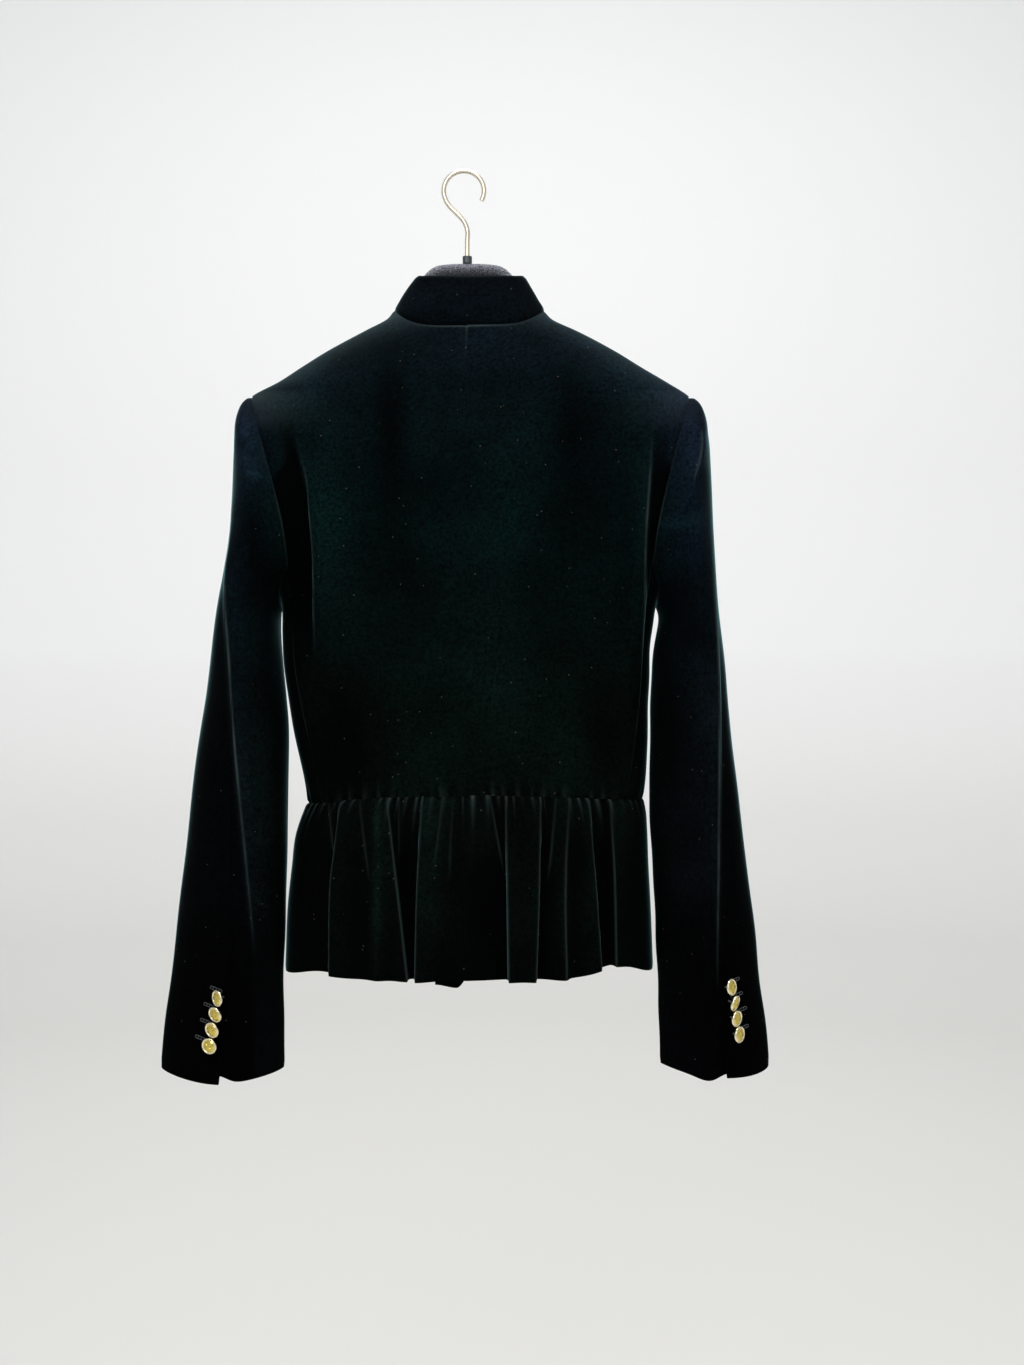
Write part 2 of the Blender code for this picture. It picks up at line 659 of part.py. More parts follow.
def wire(name, points, radius, surface):
    """A round bar or wire bent through points."""
    line = bpy.data.curves.new(name, "CURVE")
    line.dimensions = "3D"
    line.bevel_depth = radius * MM
    line.bevel_resolution = WIRE_SMOOTHNESS
    line.use_fill_caps = True
    spline = line.splines.new("POLY")
    spline.points.add(len(points) - 1)
    for spot, (x, z) in zip(spline.points, points):
        spot.co = (x * MM, 0.0, z * MM, 1.0)
    line.materials.append(surface)
    made = bpy.data.objects.new(name, line)
    parts.objects.link(made)
    return made


# The hanger's flocked bar, its ferrule and its hook
left_arm = [(-x, z) for x, z in BAR_POINTS[:0:-1]]
wire("hanger_body", [(x + JACKET_X, z) for x, z in left_arm + list(BAR_POINTS)], BAR_RADIUS, FLOCK)

bpy.ops.mesh.primitive_cylinder_add(
    vertices=FERRULE_SIDES,
    radius=FERRULE_RADIUS * MM,
    depth=(FERRULE_TOP - FERRULE_BOTTOM) * MM,
    location=(STEM_X * MM, 0.0, (FERRULE_TOP + FERRULE_BOTTOM) / 2 * MM),
)
ferrule = bpy.context.object
ferrule.name = "hanger_neck"
ferrule.data.materials.append(FERRULE)
for holder in list(ferrule.users_collection):
    holder.objects.unlink(ferrule)
parts.objects.link(ferrule)

hook = [(STEM_X, FERRULE_TOP + SEAM), (STEM_X, STEM_TOP)]
for step in range(HOOK_STEPS + 1):
    angle = math.radians(HOOK_START + (HOOK_END - HOOK_START) * step / HOOK_STEPS)
    hook.append((HOOK_RADIUS * math.cos(angle), HOOK_RADIUS * math.sin(angle) + WIRE_RADIUS - HOOK_RADIUS))
wire("hanger_hook", hook, WIRE_RADIUS, WIRE)
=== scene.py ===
import math

import bpy
import numpy as np
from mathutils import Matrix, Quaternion, Vector


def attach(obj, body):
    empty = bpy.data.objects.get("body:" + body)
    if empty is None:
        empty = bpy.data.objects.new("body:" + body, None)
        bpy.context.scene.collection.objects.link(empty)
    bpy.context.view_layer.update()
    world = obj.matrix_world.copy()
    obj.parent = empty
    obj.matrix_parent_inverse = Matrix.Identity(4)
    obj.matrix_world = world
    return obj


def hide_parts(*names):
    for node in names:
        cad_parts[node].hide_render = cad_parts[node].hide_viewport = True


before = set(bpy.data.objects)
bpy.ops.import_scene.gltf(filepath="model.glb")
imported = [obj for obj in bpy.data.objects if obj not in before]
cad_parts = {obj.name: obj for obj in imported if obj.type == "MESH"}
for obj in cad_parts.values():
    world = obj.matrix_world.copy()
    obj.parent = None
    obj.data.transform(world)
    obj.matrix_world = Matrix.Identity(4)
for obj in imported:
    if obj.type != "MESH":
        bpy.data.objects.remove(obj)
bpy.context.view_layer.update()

# Hanger bar: a moulded plastic bar under a black flocked skin. It runs inside the shoulders,
# and only its low hump shows above the collar. Sizes are in millimetres until they become points.
MM = 0.001
JACKET_X = 3.9
BAR_POINTS = ((0, -84.4), (15, -84.6), (28, -87), (36, -95), (41, -110),
              (52, -126), (68, -138), (116, -166.5), (158, -193))
BAR_RADIUS = 5.5
BAR_STEPS = 160
FLOCK_FIBRE = 1.1


def linear(code):
    """An sRGB hex colour as linear red, green, blue and alpha."""
    parts = [int(code[i:i + 2], 16) / 255 for i in (1, 3, 5)]
    return [p / 12.92 if p <= 0.04045 else ((p + 0.055) / 1.055) ** 2.4 for p in parts] + [1.0]


def add(tree, kind, inputs=None, **settings):
    """A node with its settings; an input is a value or another node's output."""
    made = tree.nodes.new(kind)
    for name, value in settings.items():
        setattr(made, name, value)
    for name, value in (inputs or {}).items():
        if isinstance(value, bpy.types.NodeSocket):
            tree.links.new(value, made.inputs[name])
        else:
            made.inputs[name].default_value = value
    return made


def surface(name, **values):
    """A material with a Principled shader, and that shader's plain values."""
    made = bpy.data.materials.new(name)
    made.use_nodes = True
    shader = made.node_tree.nodes["Principled BSDF"]
    for socket, value in values.items():
        shader.inputs[socket.replace("_", " ")].default_value = value
    return made, made.node_tree, shader


def through(keys, values, at):
    """A smooth curve through a table's values."""
    order = np.argsort(keys)
    k = np.asarray(keys, float)[order]
    v = np.asarray(values, float)[order]
    slope = np.gradient(v, k)
    at = np.clip(np.asarray(at, float), k[0], k[-1])
    i = np.clip(np.searchsorted(k, at) - 1, 0, len(k) - 2)
    step = k[i + 1] - k[i]
    t = (at - k[i]) / step
    start = (1.0 + 2.0 * t) * (1.0 - t) ** 2 * v[i] + t * (1.0 - t) ** 2 * step * slope[i]
    end = t * t * (3.0 - 2.0 * t) * v[i + 1] + t * t * (t - 1.0) * step * slope[i + 1]
    return start + end


def placed(name, data):
    """A new object in the scene."""
    made = bpy.data.objects.new(name, data)
    bpy.context.scene.collection.objects.link(made)
    return made


def bent_wire(name, points, radius, look, count):
    """A round bar through points of the plane of the hanger."""
    points = np.array(points)
    run = np.concatenate([[0.0], np.cumsum(np.linalg.norm(np.diff(points, axis=0), axis=1))])
    at = np.linspace(0.0, run[-1], count)
    line = bpy.data.curves.new(name, "CURVE")
    line.dimensions = "3D"
    line.bevel_depth = radius * MM
    line.bevel_resolution = 6
    line.use_fill_caps = True
    spline = line.splines.new("POLY")
    spline.points.add(count - 1)
    for spot, x, z in zip(spline.points, through(run, points[:, 0], at), through(run, points[:, 1], at)):
        spot.co = (x * MM, 0.0, z * MM, 1.0)
        spot.radius = 1.0
    spline.use_smooth = True
    line.materials.append(look)
    made = placed(name, line)
    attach(made, "root")
    return made


# Flock: short fibres standing in glue, which give a soft grey-black nap with a faint sheen along its outline.
# The fibres are drawn coarser than real ones, so that they show.
flock, tree, shader = surface("grey_black_flock", Roughness=0.95, Specular_IOR_Level=0.1, Sheen_Weight=0.5,
                              Sheen_Roughness=0.4)
place = add(tree, "ShaderNodeTexCoord").outputs["Object"]
fuzz = add(tree, "ShaderNodeTexNoise", {"Vector": place, "Scale": 1 / (FLOCK_FIBRE * MM), "Detail": 4.0})
fibres = add(tree, "ShaderNodeValToRGB", {"Fac": fuzz.outputs["Fac"]})
fibres.color_ramp.elements[0].position = 0.35
fibres.color_ramp.elements[0].color = linear("#26272b")
fibres.color_ramp.elements[1].position = 0.7
fibres.color_ramp.elements[1].color = linear("#8f929b")
raised = add(tree, "ShaderNodeBump", {"Height": fuzz.outputs["Fac"], "Strength": 0.5, "Distance": 0.4 * MM})
tree.links.new(fibres.outputs["Color"], shader.inputs["Base Color"])
tree.links.new(raised.outputs["Normal"], shader.inputs["Normal"])
bar_line = [(-x, z) for x, z in BAR_POINTS[:0:-1]] + list(BAR_POINTS)
bar = bent_wire("hanger_bar", [(x + JACKET_X, z) for x, z in bar_line], BAR_RADIUS, flock, BAR_STEPS)
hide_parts("hanger_body")

# Ferrule: a short dark metal collar pressed into the top of the bar, which holds the hook's stem.
# The solid has the right shape already and takes the finish of worn dark metal.
FERRULE_WEAR = 2.0
# Dark plated metal: dull reflections, a little sharper where it is rubbed.
dark_metal, tree, shader = surface("dark_ferrule_metal", Base_Color=linear("#5d6163"), Metallic=1.0)
place = add(tree, "ShaderNodeTexCoord").outputs["Object"]
wear = add(tree, "ShaderNodeTexNoise", {"Vector": place, "Scale": 1 / (FERRULE_WEAR * MM), "Detail": 4.0})
rough = add(tree, "ShaderNodeMapRange", {"Value": wear.outputs["Fac"], "To Min": 0.3, "To Max": 0.55})
tree.links.new(rough.outputs["Result"], shader.inputs["Roughness"])
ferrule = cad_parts["hanger_neck"]
ferrule.data.materials.clear()
ferrule.data.materials.append(dark_metal)

# Hook: pale brass-plated wire, bent into a round crook over a straight stem.
# The stem stands in the ferrule, and the crook's inner top is where it rests.
STEM_X = 3.0
STEM_FOOT = -72.1
STEM_TOP = -47.5
WIRE_RADIUS = 2.15
HOOK_RADIUS = 17.55
HOOK_START = 204.0
HOOK_END = -28.0
WIRE_STEPS = 220
WIRE_STREAK = 1.2
STREAK_DRAWN_OUT = 0.15
HOOK_STEPS = 16
CROOK_BEND = 2.0
CROOK_LEAN = 1.2
hook_line = [(STEM_X, STEM_FOOT), (STEM_X, (STEM_FOOT + STEM_TOP) / 2), (STEM_X, STEM_TOP - CROOK_BEND),
             (STEM_X - CROOK_LEAN, STEM_TOP + CROOK_BEND)]
for step in range(HOOK_STEPS + 1):
    angle = math.radians(HOOK_START + (HOOK_END - HOOK_START) * step / HOOK_STEPS)
    height = HOOK_RADIUS * math.sin(angle) + WIRE_RADIUS - HOOK_RADIUS
    hook_line.append((HOOK_RADIUS * math.cos(angle), height))
# Brass-plated drawn wire: a pale gold gloss, with satin streaks along the stem from the drawing.
plated, tree, shader = surface("pale_brass_wire", Base_Color=linear("#efe6d2"), Metallic=1.0)
place = add(tree, "ShaderNodeTexCoord").outputs["Object"]
along = add(tree, "ShaderNodeMapping", {"Vector": place, "Scale": (1.0, 1.0, STREAK_DRAWN_OUT)})
drawn = add(tree, "ShaderNodeTexNoise", {"Vector": along.outputs["Vector"], "Scale": 1 / (WIRE_STREAK * MM),
                                         "Detail": 4.0})
rough = add(tree, "ShaderNodeMapRange", {"Value": drawn.outputs["Fac"], "To Min": 0.18, "To Max": 0.38})
tree.links.new(rough.outputs["Result"], shader.inputs["Roughness"])
hook = bent_wire("hanger_hook_wire", hook_line, WIRE_RADIUS, plated, WIRE_STEPS)
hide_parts("hanger_hook")

# Back: two velvet panels joined by the centre-back seam, cut from neck to waist and sewn to the fronts
# at the shoulders, to the sleeves at the armholes and to the side panels at the long curved seams.
LEFT, RIGHT, BACK, FRONT = -1, 1, -1, 1
SIDE_NAMES = {LEFT: "left", RIGHT: "right"}
FACE_NAMES = {BACK: "back", FRONT: "front"}
BODY_WALL = 1.6
SEAM_OVERLAP = 0.15
ROUNDNESS = 2.6
BODY_COLUMNS = ("z", "left", "right", "back", "front")
BODY = np.array([
    (-121, 64, 66, 38, 42), (-131, 72, 75.5, 44, 47), (-141.5, 92, 98, 49, 52),
    (-159, 124, 130, 55, 58), (-173, 146, 152, 59, 62), (-187, 168, 176, 62, 66),
    (-196, 186, 191, 63, 68), (-220, 197, 200, 66, 73), (-260, 200, 204, 70, 79),
    (-300, 194, 199, 72, 83), (-345, 172, 177, 74, 85), (-375, 162, 163, 74, 85),
    (-400, 161, 159.5, 74, 84), (-425, 159.5, 157.5, 74, 82), (-450, 156.5, 156.5, 74, 80),
    (-480, 152, 155.5, 73, 78), (-521, 143, 154.5, 72, 75), (-549, 138, 151, 72, 74),
])
EDGE_COLUMNS = ("z", "left", "right")
EDGE = np.array([
    (-196, 186, 191), (-222, 178.5, 183), (-250, 170, 175), (-280, 161, 167),
    (-312, 153.5, 160), (-345, 150, 156), (-385, 149, 152), (-425, 147, 149.5),
    (-470, 139, 146), (-510, 129, 139), (-549, 119, 131),
])
ROW_COLUMNS = ("edge", "back", "front")
ROWS = np.array([
    (-121, -143, -190), (-146, -160, -203), (-171, -179, -218), (-196, -200, -233),
    (-224, -226, -252), (-254, -255, -274), (-284, -284, -298), (-314, -314, -324),
    (-345, -345, -351), (-390, -390, -398), (-435, -434, -445), (-480, -476, -491),
    (-516, -509, -530), (-547, -537, -562),
])
SHOULDER_Z = -196.0
NECK_SWEEP = 2.4
BACK_NECK_SWEEP = 5.0
WAIST_SIDE_Z = {LEFT: -547.0, RIGHT: -543.0}
LAP = 34.0
UNDERLAP = 2.0
LAP_LIFT = 4.2
LAP_FLAT = 6.0
LAP_END = 32.0
FOLD_EASE = 20.0
# Broad troughs: x at the top and at the bottom, depth, width, upper and lower end
BACK_TROUGHS = (
    (-62, -78, 4.5, 24, -165, -530), (74, 78, 4.5, 24, -165, -530),
    (-131, -129, 6, 8, -225, -430), (139, 133, 6, 8, -225, -430),
)
# Creases: upper end, middle and lower end as x and z, height, softness on the left and on the right
BACK_CREASES = (
    (-141, -238, -125.3, -318, -127, -430, 5.5, 3, 20),
    (-148, -225, -141, -330, -138, -430, -4.5, 7, 5),
    (156, -230, 150, -300, 147, -430, 3.6, 18, 3),
    (-92, -190, -98, -250, -106, -310, -1.6, 12, 16),
    (104, -185, 110, -240, 114, -300, -1.6, 16, 12),
    (-110, -430, -100, -480, -84, -538, -2.2, 20, 9),
    (106, -430, 108, -490, 108, -538, -2, 9, 20),
    (-30, -330, -26, -400, -30, -470, 1, 14, 22),
    (34, -260, 30, -350, 36, -440, 1, 22, 14),
)
# Patches of painted light and shade on the pile: x and z of the middle, half width, half height, strength
BACK_PAINTED_LIGHT_AND_SHADE = (
    (-62, -235, 16, 75, -0.75), (88, -240, 15, 70, -0.6), (-100, -500, 42, 60, -0.7),
    (118, -510, 16, 50, -0.5), (-140, -190, 45, 26, 0.6), (145, -190, 45, 26, 0.4),
    (30, -470, 55, 70, 0.35),
    (-110, -300, 14, 60, 0.1), (20, -235, 45, 60, 0.2), (112, -300, 18, 90, -0.25),
)
# How deep the middle seam turns in, how much deeper it does at the neck, and how soon that fades
MIDDLE_TUCK = (0.1, 0.5, 14.0)
# How far the creases and waves keep off the long seam, and the gathers off the middle one
CREASES_OFF_EDGE = 7.0
GATHERS_OFF_MIDDLE = 4.0
# Painted shade in the hollow between each long crease and the armhole: levels where it starts and ends,
# how slowly, levels between which it widens, both widths, and the softness of its inner and outer edge
HOLLOW_SHADE = {LEFT: (-205.0, -450.0), RIGHT: (-215.0, -400.0)}
HOLLOW_FADES = (60.0, 70.0)
HOLLOW_WIDENS = (-250.0, -295.0)
HOLLOW_WIDTHS = (10.0, 40.0)
HOLLOW_INNER = (0.5, 4.5)
HOLLOW_OUTER = 7.0
# How much painted light, as from above, lies along each shoulder, how far from the seam and between which
# levels
PAINTED_SHOULDER_LIGHT = {LEFT: 1.7, RIGHT: 0.95}
PAINTED_SHOULDER_LIGHT_WIDTH = 40.0
PAINTED_SHOULDER_LIGHT_LEVELS = (-240.0, -185.0)
# The levels between which the long seam starts to show as a painted highlight line, and how sharply the long
# crease's painted highlight line ends
SEAM_SHOWS = {LEFT: (-390.0, -440.0), RIGHT: (-330.0, -370.0)}
LONG_CREASE = {LEFT: BACK_CREASES[0], RIGHT: BACK_CREASES[2]}
LONG_CREASE_ENDS = {LEFT: 1.6, RIGHT: 1.0}
# How strongly each of these paints light and shade into the pile or a painted highlight onto it, and how wide
# the painted highlight lines are
PAINTED_SHADING_GAIN = {"crease": 0.14, "trough": 0.05, "hollow_shade": 0.93, "painted_shoulder_light": 2.4, "gather": 0.5}
PAINTED_SHEEN = {"crest": 0.7, "painted_shoulder_light": 0.3, "seam": 0.4, "neck": 0.5, "middle": 0.4, "gather": 0.22}
LINE_WIDTHS = {"crest": 0.75, "seam": 1.1, "neck": 0.9, "middle": 0.9}
# How far below the collar the neck's painted highlight line lies, its reach to each side, and the reach of
# the middle seam's painted highlight line
NECK_LINE_OFF = 1.2
NECK_LINE_REACH = 45.0
MIDDLE_LINE_REACH = 10.0
# Slow waves of the cloth, as height and length, and gathers over the waist seam, as height, pitch and fade
BACK_WAVES = (0.5, 110.0)
BACK_GATHERS = (1.3, 6.5, 7.0)
# How soon the painted highlight on the gathers' crests fades upwards from the waist seam
GATHER_PAINTED_SHEEN_FADE = 5.0
GATHER_DRAWN_OUT = 0.05
PANEL_CELLS = {BACK: (150, 110), FRONT: (96, 70)}
CREST = 1.6
CREASE_END = 0.35


def smooth(low, high, value):
    """A soft step from 0 to 1."""
    t = np.clip((np.asarray(value, float) - low) / (high - low), 0.0, 1.0)
    return t * t * (3.0 - 2.0 * t)


def hump(offset, width):
    """A round hump of unit height."""
    return np.exp(-((offset / width) ** 2))


def read(table, columns, name, at):
    """One column of a table, at any place along its first column."""
    return through(table[:, 0], table[:, columns.index(name)], at)


def half_width(side, z):
    return read(BODY, BODY_COLUMNS, SIDE_NAMES[side], z)


def half_depth(face, z):
    return read(BODY, BODY_COLUMNS, FACE_NAMES[face], z)


def edge_x(side, z):
    """The outer edge of a back or front panel: shoulder seam, armhole, long seam."""
    low = read(EDGE, EDGE_COLUMNS, SIDE_NAMES[side], z)
    return np.where(np.asarray(z) >= SHOULDER_Z, half_width(side, z), low)


def back_fold(x, z):
    """How far the broad troughs sink into the back."""
    sunk = np.zeros_like(x)
    for top_x, low_x, deep, width, top_z, low_z in BACK_TROUGHS:
        along = np.clip((z - top_z) / (low_z - top_z), 0.0, 1.0)
        middle = top_x + (low_x - top_x) * along
        sunk = sunk + deep * np.sin(np.pi * along) * hump(x - middle, width)
    return sunk


def body_y(side, face, x, z):
    """Depth of the body's surface; x counts outwards from the middle."""
    ratio = np.clip(np.abs(x) / half_width(side, z), 0.0, 1.0)
    y = half_depth(face, z) * (1.0 - ratio ** ROUNDNESS) ** (1.0 / ROUNDNESS)
    if face == BACK:
        y = y - back_fold(side * x, z) * smooth(0.0, FOLD_EASE, y)
    return face * y


def waist_z(side, face, ratio):
    """Level of the waist seam; ratio is 0 in the middle of a face and 1 at the side."""
    middle = ROWS[-1, ROW_COLUMNS.index(FACE_NAMES[face])]
    return middle + (WAIST_SIDE_Z[side] - middle) * np.clip(np.abs(ratio), 0.0, 1.0) ** NECK_SWEEP


def panel_points(side, face):
    """A fine grid over a back or front panel, from its middle edge outwards and from neck to waist."""
    down, wide = PANEL_CELLS[face]
    count = np.linspace(0.0, len(ROWS) - 1.0, down + 1)
    start = -SEAM_OVERLAP
    if face == FRONT:
        start = -LAP if side == RIGHT else -UNDERLAP
    across = np.sin(np.linspace(0.0, 1.0, wide + 1) * np.pi / 2)
    outer_z = through(np.arange(len(ROWS)), ROWS[:, 0], count)[:, None]
    inner_z = through(np.arange(len(ROWS)), ROWS[:, ROW_COLUMNS.index(FACE_NAMES[face])], count)[:, None]
    outer_x = edge_x(side, outer_z) + SEAM_OVERLAP
    x = start + (outer_x - start) * across[None]
    sweep = NECK_SWEEP
    if face == BACK:
        sweep = (BACK_NECK_SWEEP + (NECK_SWEEP - BACK_NECK_SWEEP) * smooth(0.0, 1.0, count))[:, None]
    z = inner_z + (outer_z - inner_z) * np.clip(x / outer_x, 0.0, 1.0) ** sweep
    low = waist_z(side, face, x / half_width(side, outer_z))
    z = z + (low - z) * smooth(len(ROWS) - 3.0, len(ROWS) - 1.0, count)[:, None]
    y = body_y(side, face, x, z)
    y[outer_z[:, 0] >= SHOULDER_Z, -1] = 0.0
    if face == FRONT and side == RIGHT:
        y = y + LAP_LIFT * (1.0 - smooth(LAP_FLAT, LAP_END, x))
    return np.stack([side * x, y, z], axis=2)


def outward(points, core_x):
    """Unit normals of a grid of points, away from the inside of the piece."""
    normal = np.cross(np.gradient(points, axis=0), np.gradient(points, axis=1))
    normal /= np.maximum(np.linalg.norm(normal, axis=2, keepdims=True), 1e-9)
    away = points[..., :2] - np.array([core_x, 0.0])
    return normal if np.sum(normal[..., :2] * away) > 0 else -normal


def reach(points, axis):
    """How far along the cloth each point is from the first and from the last row or column."""
    step = np.linalg.norm(np.diff(points, axis=axis), axis=2)
    pad = [(0, 0), (0, 0)]
    pad[axis] = (1, 0)
    run = np.cumsum(np.pad(step, pad), axis=axis)
    return run, run.max(axis=axis, keepdims=True) - run


def seam_dip(distance, deep=1.0, width=2.4):
    """The cloth turns in towards a seam."""
    return -deep * hump(distance, width)


def waist_gathers(gather, height, fade, from_waist):
    """Small puckers that fade out upwards from the waist seam, where the cloth turns in."""
    puckers = height * gather * np.exp(-from_waist / fade) * smooth(0.0, 3.0, from_waist)
    return puckers + seam_dip(from_waist, 0.6, 3.0)


def crease_line(row, z):
    """Where a crease runs at each level, and its share from the upper end to the lower one."""
    top_x, top_z, mid_x, mid_z, low_x, low_z = row[:6]
    along = np.clip((z - top_z) / (low_z - top_z), 0.0, 1.0)
    return through((low_z, mid_z, top_z), (low_x, mid_x, top_x), z), along


def crease(x, z, row):
    """One soft uneven crease over a piece, as a height at each point."""
    height, left, right = row[6:]
    line, along = crease_line(row, z)
    off = x - line
    soft = np.where(off < 0, left, right)
    ends = smooth(0.0, CREASE_END, along) * smooth(0.0, CREASE_END, 1.0 - along)
    return height * ends * np.exp(-np.abs(off / soft) ** CREST)


def undulate(a, b, size, seed):
    """A slow unevenness of about unit height over two lengths along the cloth."""
    rng = np.random.default_rng(seed)
    total = np.zeros_like(a)
    turns, stretches, phases = rng.uniform(0, np.pi, 7), rng.uniform(0.6, 1.7, 7), rng.uniform(0, 6.28, 7)
    for turn, stretch, phase in zip(turns, stretches, phases):
        total = total + np.sin((a * np.cos(turn) + b * np.sin(turn)) * 2 * np.pi / (size * stretch) + phase)
    return total / 3.0


def paint_light_and_shade(painted_shading, x, z, places, shown=1.0):
    """The painted shading, with patches of painted light and shade laid over it."""
    for mid_x, mid_z, half_x, half_z, strength in places:
        off = ((x - mid_x) / half_x) ** 2 + ((z - mid_z) / half_z) ** 2
        painted_shading = painted_shading * (1.0 + strength * np.exp(-off) * shown)
    return painted_shading


# Levels between which the dye changes and is painted paler and bluer towards the neck as light from above and
# darker towards the hem as shade, half widths between which it turns to the sleeves' dye, and its tint
DYE_AND_PAINTED_LIGHT_LEVELS = (-780.0, -90.0)
SLEEVE_DYE_FROM = (150.0, 190.0)
SLEEVE_TINT = (1.5, 0.9, 1.5)
# Size of the brushed patches, of the grain of the pile and of the ground's threads, spacing and share of lint
PILE_LAY = 75.0
PILE_GRAIN = 2.6
GROUND_THREAD = 0.8
LINT_SPACING = 11.0
LINT_SHARE = 0.045
# Velvet, dyed black-green: a dense cut pile that takes in most of the light and shows a faint blue-green
# sheen where it is seen from the side. Its grain is drawn coarser than the real fibres, so that it shows.
velvet, tree, shader = surface("black_green_velvet", Specular_IOR_Level=0.02, Sheen_Weight=0.7,
                               Sheen_Roughness=0.18, Sheen_Tint=linear("#7daeb2"))
place = add(tree, "ShaderNodeTexCoord").outputs["Object"]
level = add(tree, "ShaderNodeSeparateXYZ", {"Vector": place})
# The dye's own black-green, painted paler and bluer towards the neck as light from above and darker towards
# the hem as shade.
height = add(tree, "ShaderNodeMapRange", {"Value": level.outputs["Z"], "From Min": DYE_AND_PAINTED_LIGHT_LEVELS[0] * MM,
                                          "From Max": DYE_AND_PAINTED_LIGHT_LEVELS[1] * MM})
dye_and_painted_light = add(tree, "ShaderNodeValToRGB", {"Fac": height.outputs["Result"]})
dye_and_painted_light.color_ramp.elements[0].color = linear("#030505")
dye_and_painted_light.color_ramp.elements[1].color = linear("#070e15")
dye_and_painted_light.color_ramp.elements.new(0.4).color = linear("#040c09")
dye_and_painted_light.color_ramp.elements.new(0.7).color = linear("#030e0e")
aside = add(tree, "ShaderNodeMath", {0: level.outputs["X"]}, operation="ABSOLUTE")
on_sleeve = add(tree, "ShaderNodeMapRange", {"Value": aside.outputs["Value"],
                                             "From Min": SLEEVE_DYE_FROM[0] * MM,
                                             "From Max": SLEEVE_DYE_FROM[1] * MM})
bluer = add(tree, "ShaderNodeVectorMath", {0: dye_and_painted_light.outputs["Color"], 1: SLEEVE_TINT}, operation="MULTIPLY")
dyed_and_painted_light = add(tree, "ShaderNodeMix", {"Factor": on_sleeve.outputs["Result"], 6: dye_and_painted_light.outputs["Color"],
                                   7: bluer.outputs["Vector"]}, data_type="RGBA")
lay = add(tree, "ShaderNodeTexNoise", {"Vector": place, "Scale": 1 / (PILE_LAY * MM), "Detail": 4.0})
grain = add(tree, "ShaderNodeTexNoise", {"Vector": place, "Scale": 1 / (PILE_GRAIN * MM), "Detail": 3.0})
brushed = add(tree, "ShaderNodeMapRange", {"Value": lay.outputs["Fac"], "From Min": 0.3, "From Max": 0.7,
                                           "To Min": 0.42, "To Max": 1.2})
flecked = add(tree, "ShaderNodeMapRange", {"Value": grain.outputs["Fac"], "From Min": 0.3, "From Max": 0.7,
                                           "To Min": 0.4, "To Max": 1.75})
uneven = add(tree, "ShaderNodeMath", {0: brushed.outputs["Result"], 1: flecked.outputs["Result"]},
             operation="MULTIPLY")
# Painted light and shade from the cloth pieces: lighter on crests and shoulders, darker in hollows and
# troughs; it scales the dye together with the pile's random tone.
creased = add(tree, "ShaderNodeAttribute", attribute_name="painted_shading")
painted_shading = add(tree, "ShaderNodeMath", {0: uneven.outputs["Value"], 1: creased.outputs["Fac"]},
          operation="MULTIPLY")
toned = add(tree, "ShaderNodeVectorMath", {0: dyed_and_painted_light.outputs[2], "Scale": painted_shading.outputs["Value"]},
            operation="SCALE")
cells = add(tree, "ShaderNodeTexVoronoi", {"Vector": place, "Scale": 1 / (LINT_SPACING * MM)})
lint = add(tree, "ShaderNodeMath", {0: cells.outputs["Distance"], 1: LINT_SHARE}, operation="LESS_THAN")
# Painted highlights from the cloth pieces, mixed in as a pale grey-green along folds' edges and seams, where
# velvet catches the light edge-on.
edges = add(tree, "ShaderNodeAttribute", attribute_name="painted_sheen")
with_painted_sheen = add(tree, "ShaderNodeMix", {"Factor": edges.outputs["Fac"], 6: toned.outputs["Vector"],
                                      7: linear("#3b4646")}, data_type="RGBA")
dusty = add(tree, "ShaderNodeMix", {"Factor": lint.outputs["Value"], 6: with_painted_sheen.outputs[2],
                                    7: linear("#4a453d")}, data_type="RGBA")
matt = add(tree, "ShaderNodeMapRange", {"Value": lay.outputs["Fac"], "To Min": 0.85, "To Max": 1.0})
pile = add(tree, "ShaderNodeBump", {"Height": grain.outputs["Fac"], "Strength": 0.3, "Distance": 0.4 * MM})
tree.links.new(dusty.outputs[2], shader.inputs["Base Color"])
tree.links.new(matt.outputs["Result"], shader.inputs["Roughness"])
tree.links.new(pile.outputs["Normal"], shader.inputs["Normal"])

# Reverse of the velvet: its plain woven ground, matt and almost black. The threads are drawn coarser than
# real ones, so that they show.
reverse, tree, shader = surface("velvet_reverse", Base_Color=linear("#040505"), Roughness=0.9,
                                Specular_IOR_Level=0.02)
place = add(tree, "ShaderNodeTexCoord").outputs["Object"]
weave = add(tree, "ShaderNodeTexNoise", {"Vector": place, "Scale": 1 / (GROUND_THREAD * MM), "Detail": 2.0})
raised = add(tree, "ShaderNodeBump", {"Height": weave.outputs["Fac"], "Strength": 0.4, "Distance": 0.2 * MM})
tree.links.new(raised.outputs["Normal"], shader.inputs["Normal"])


def crest_sheen_line(x, z, row, width, ends=0.8):
    """The narrow line along a crease's crest, where a painted highlight shows as the pile catches the light
    edge-on; it comes and goes.
    """
    line, along = crease_line(row, z)
    uneven = 0.75 + 0.25 * np.sin(z / 17.0 + np.sin(z / 7.0))
    return uneven * np.sin(np.pi * along) ** ends * hump(x - line, width)


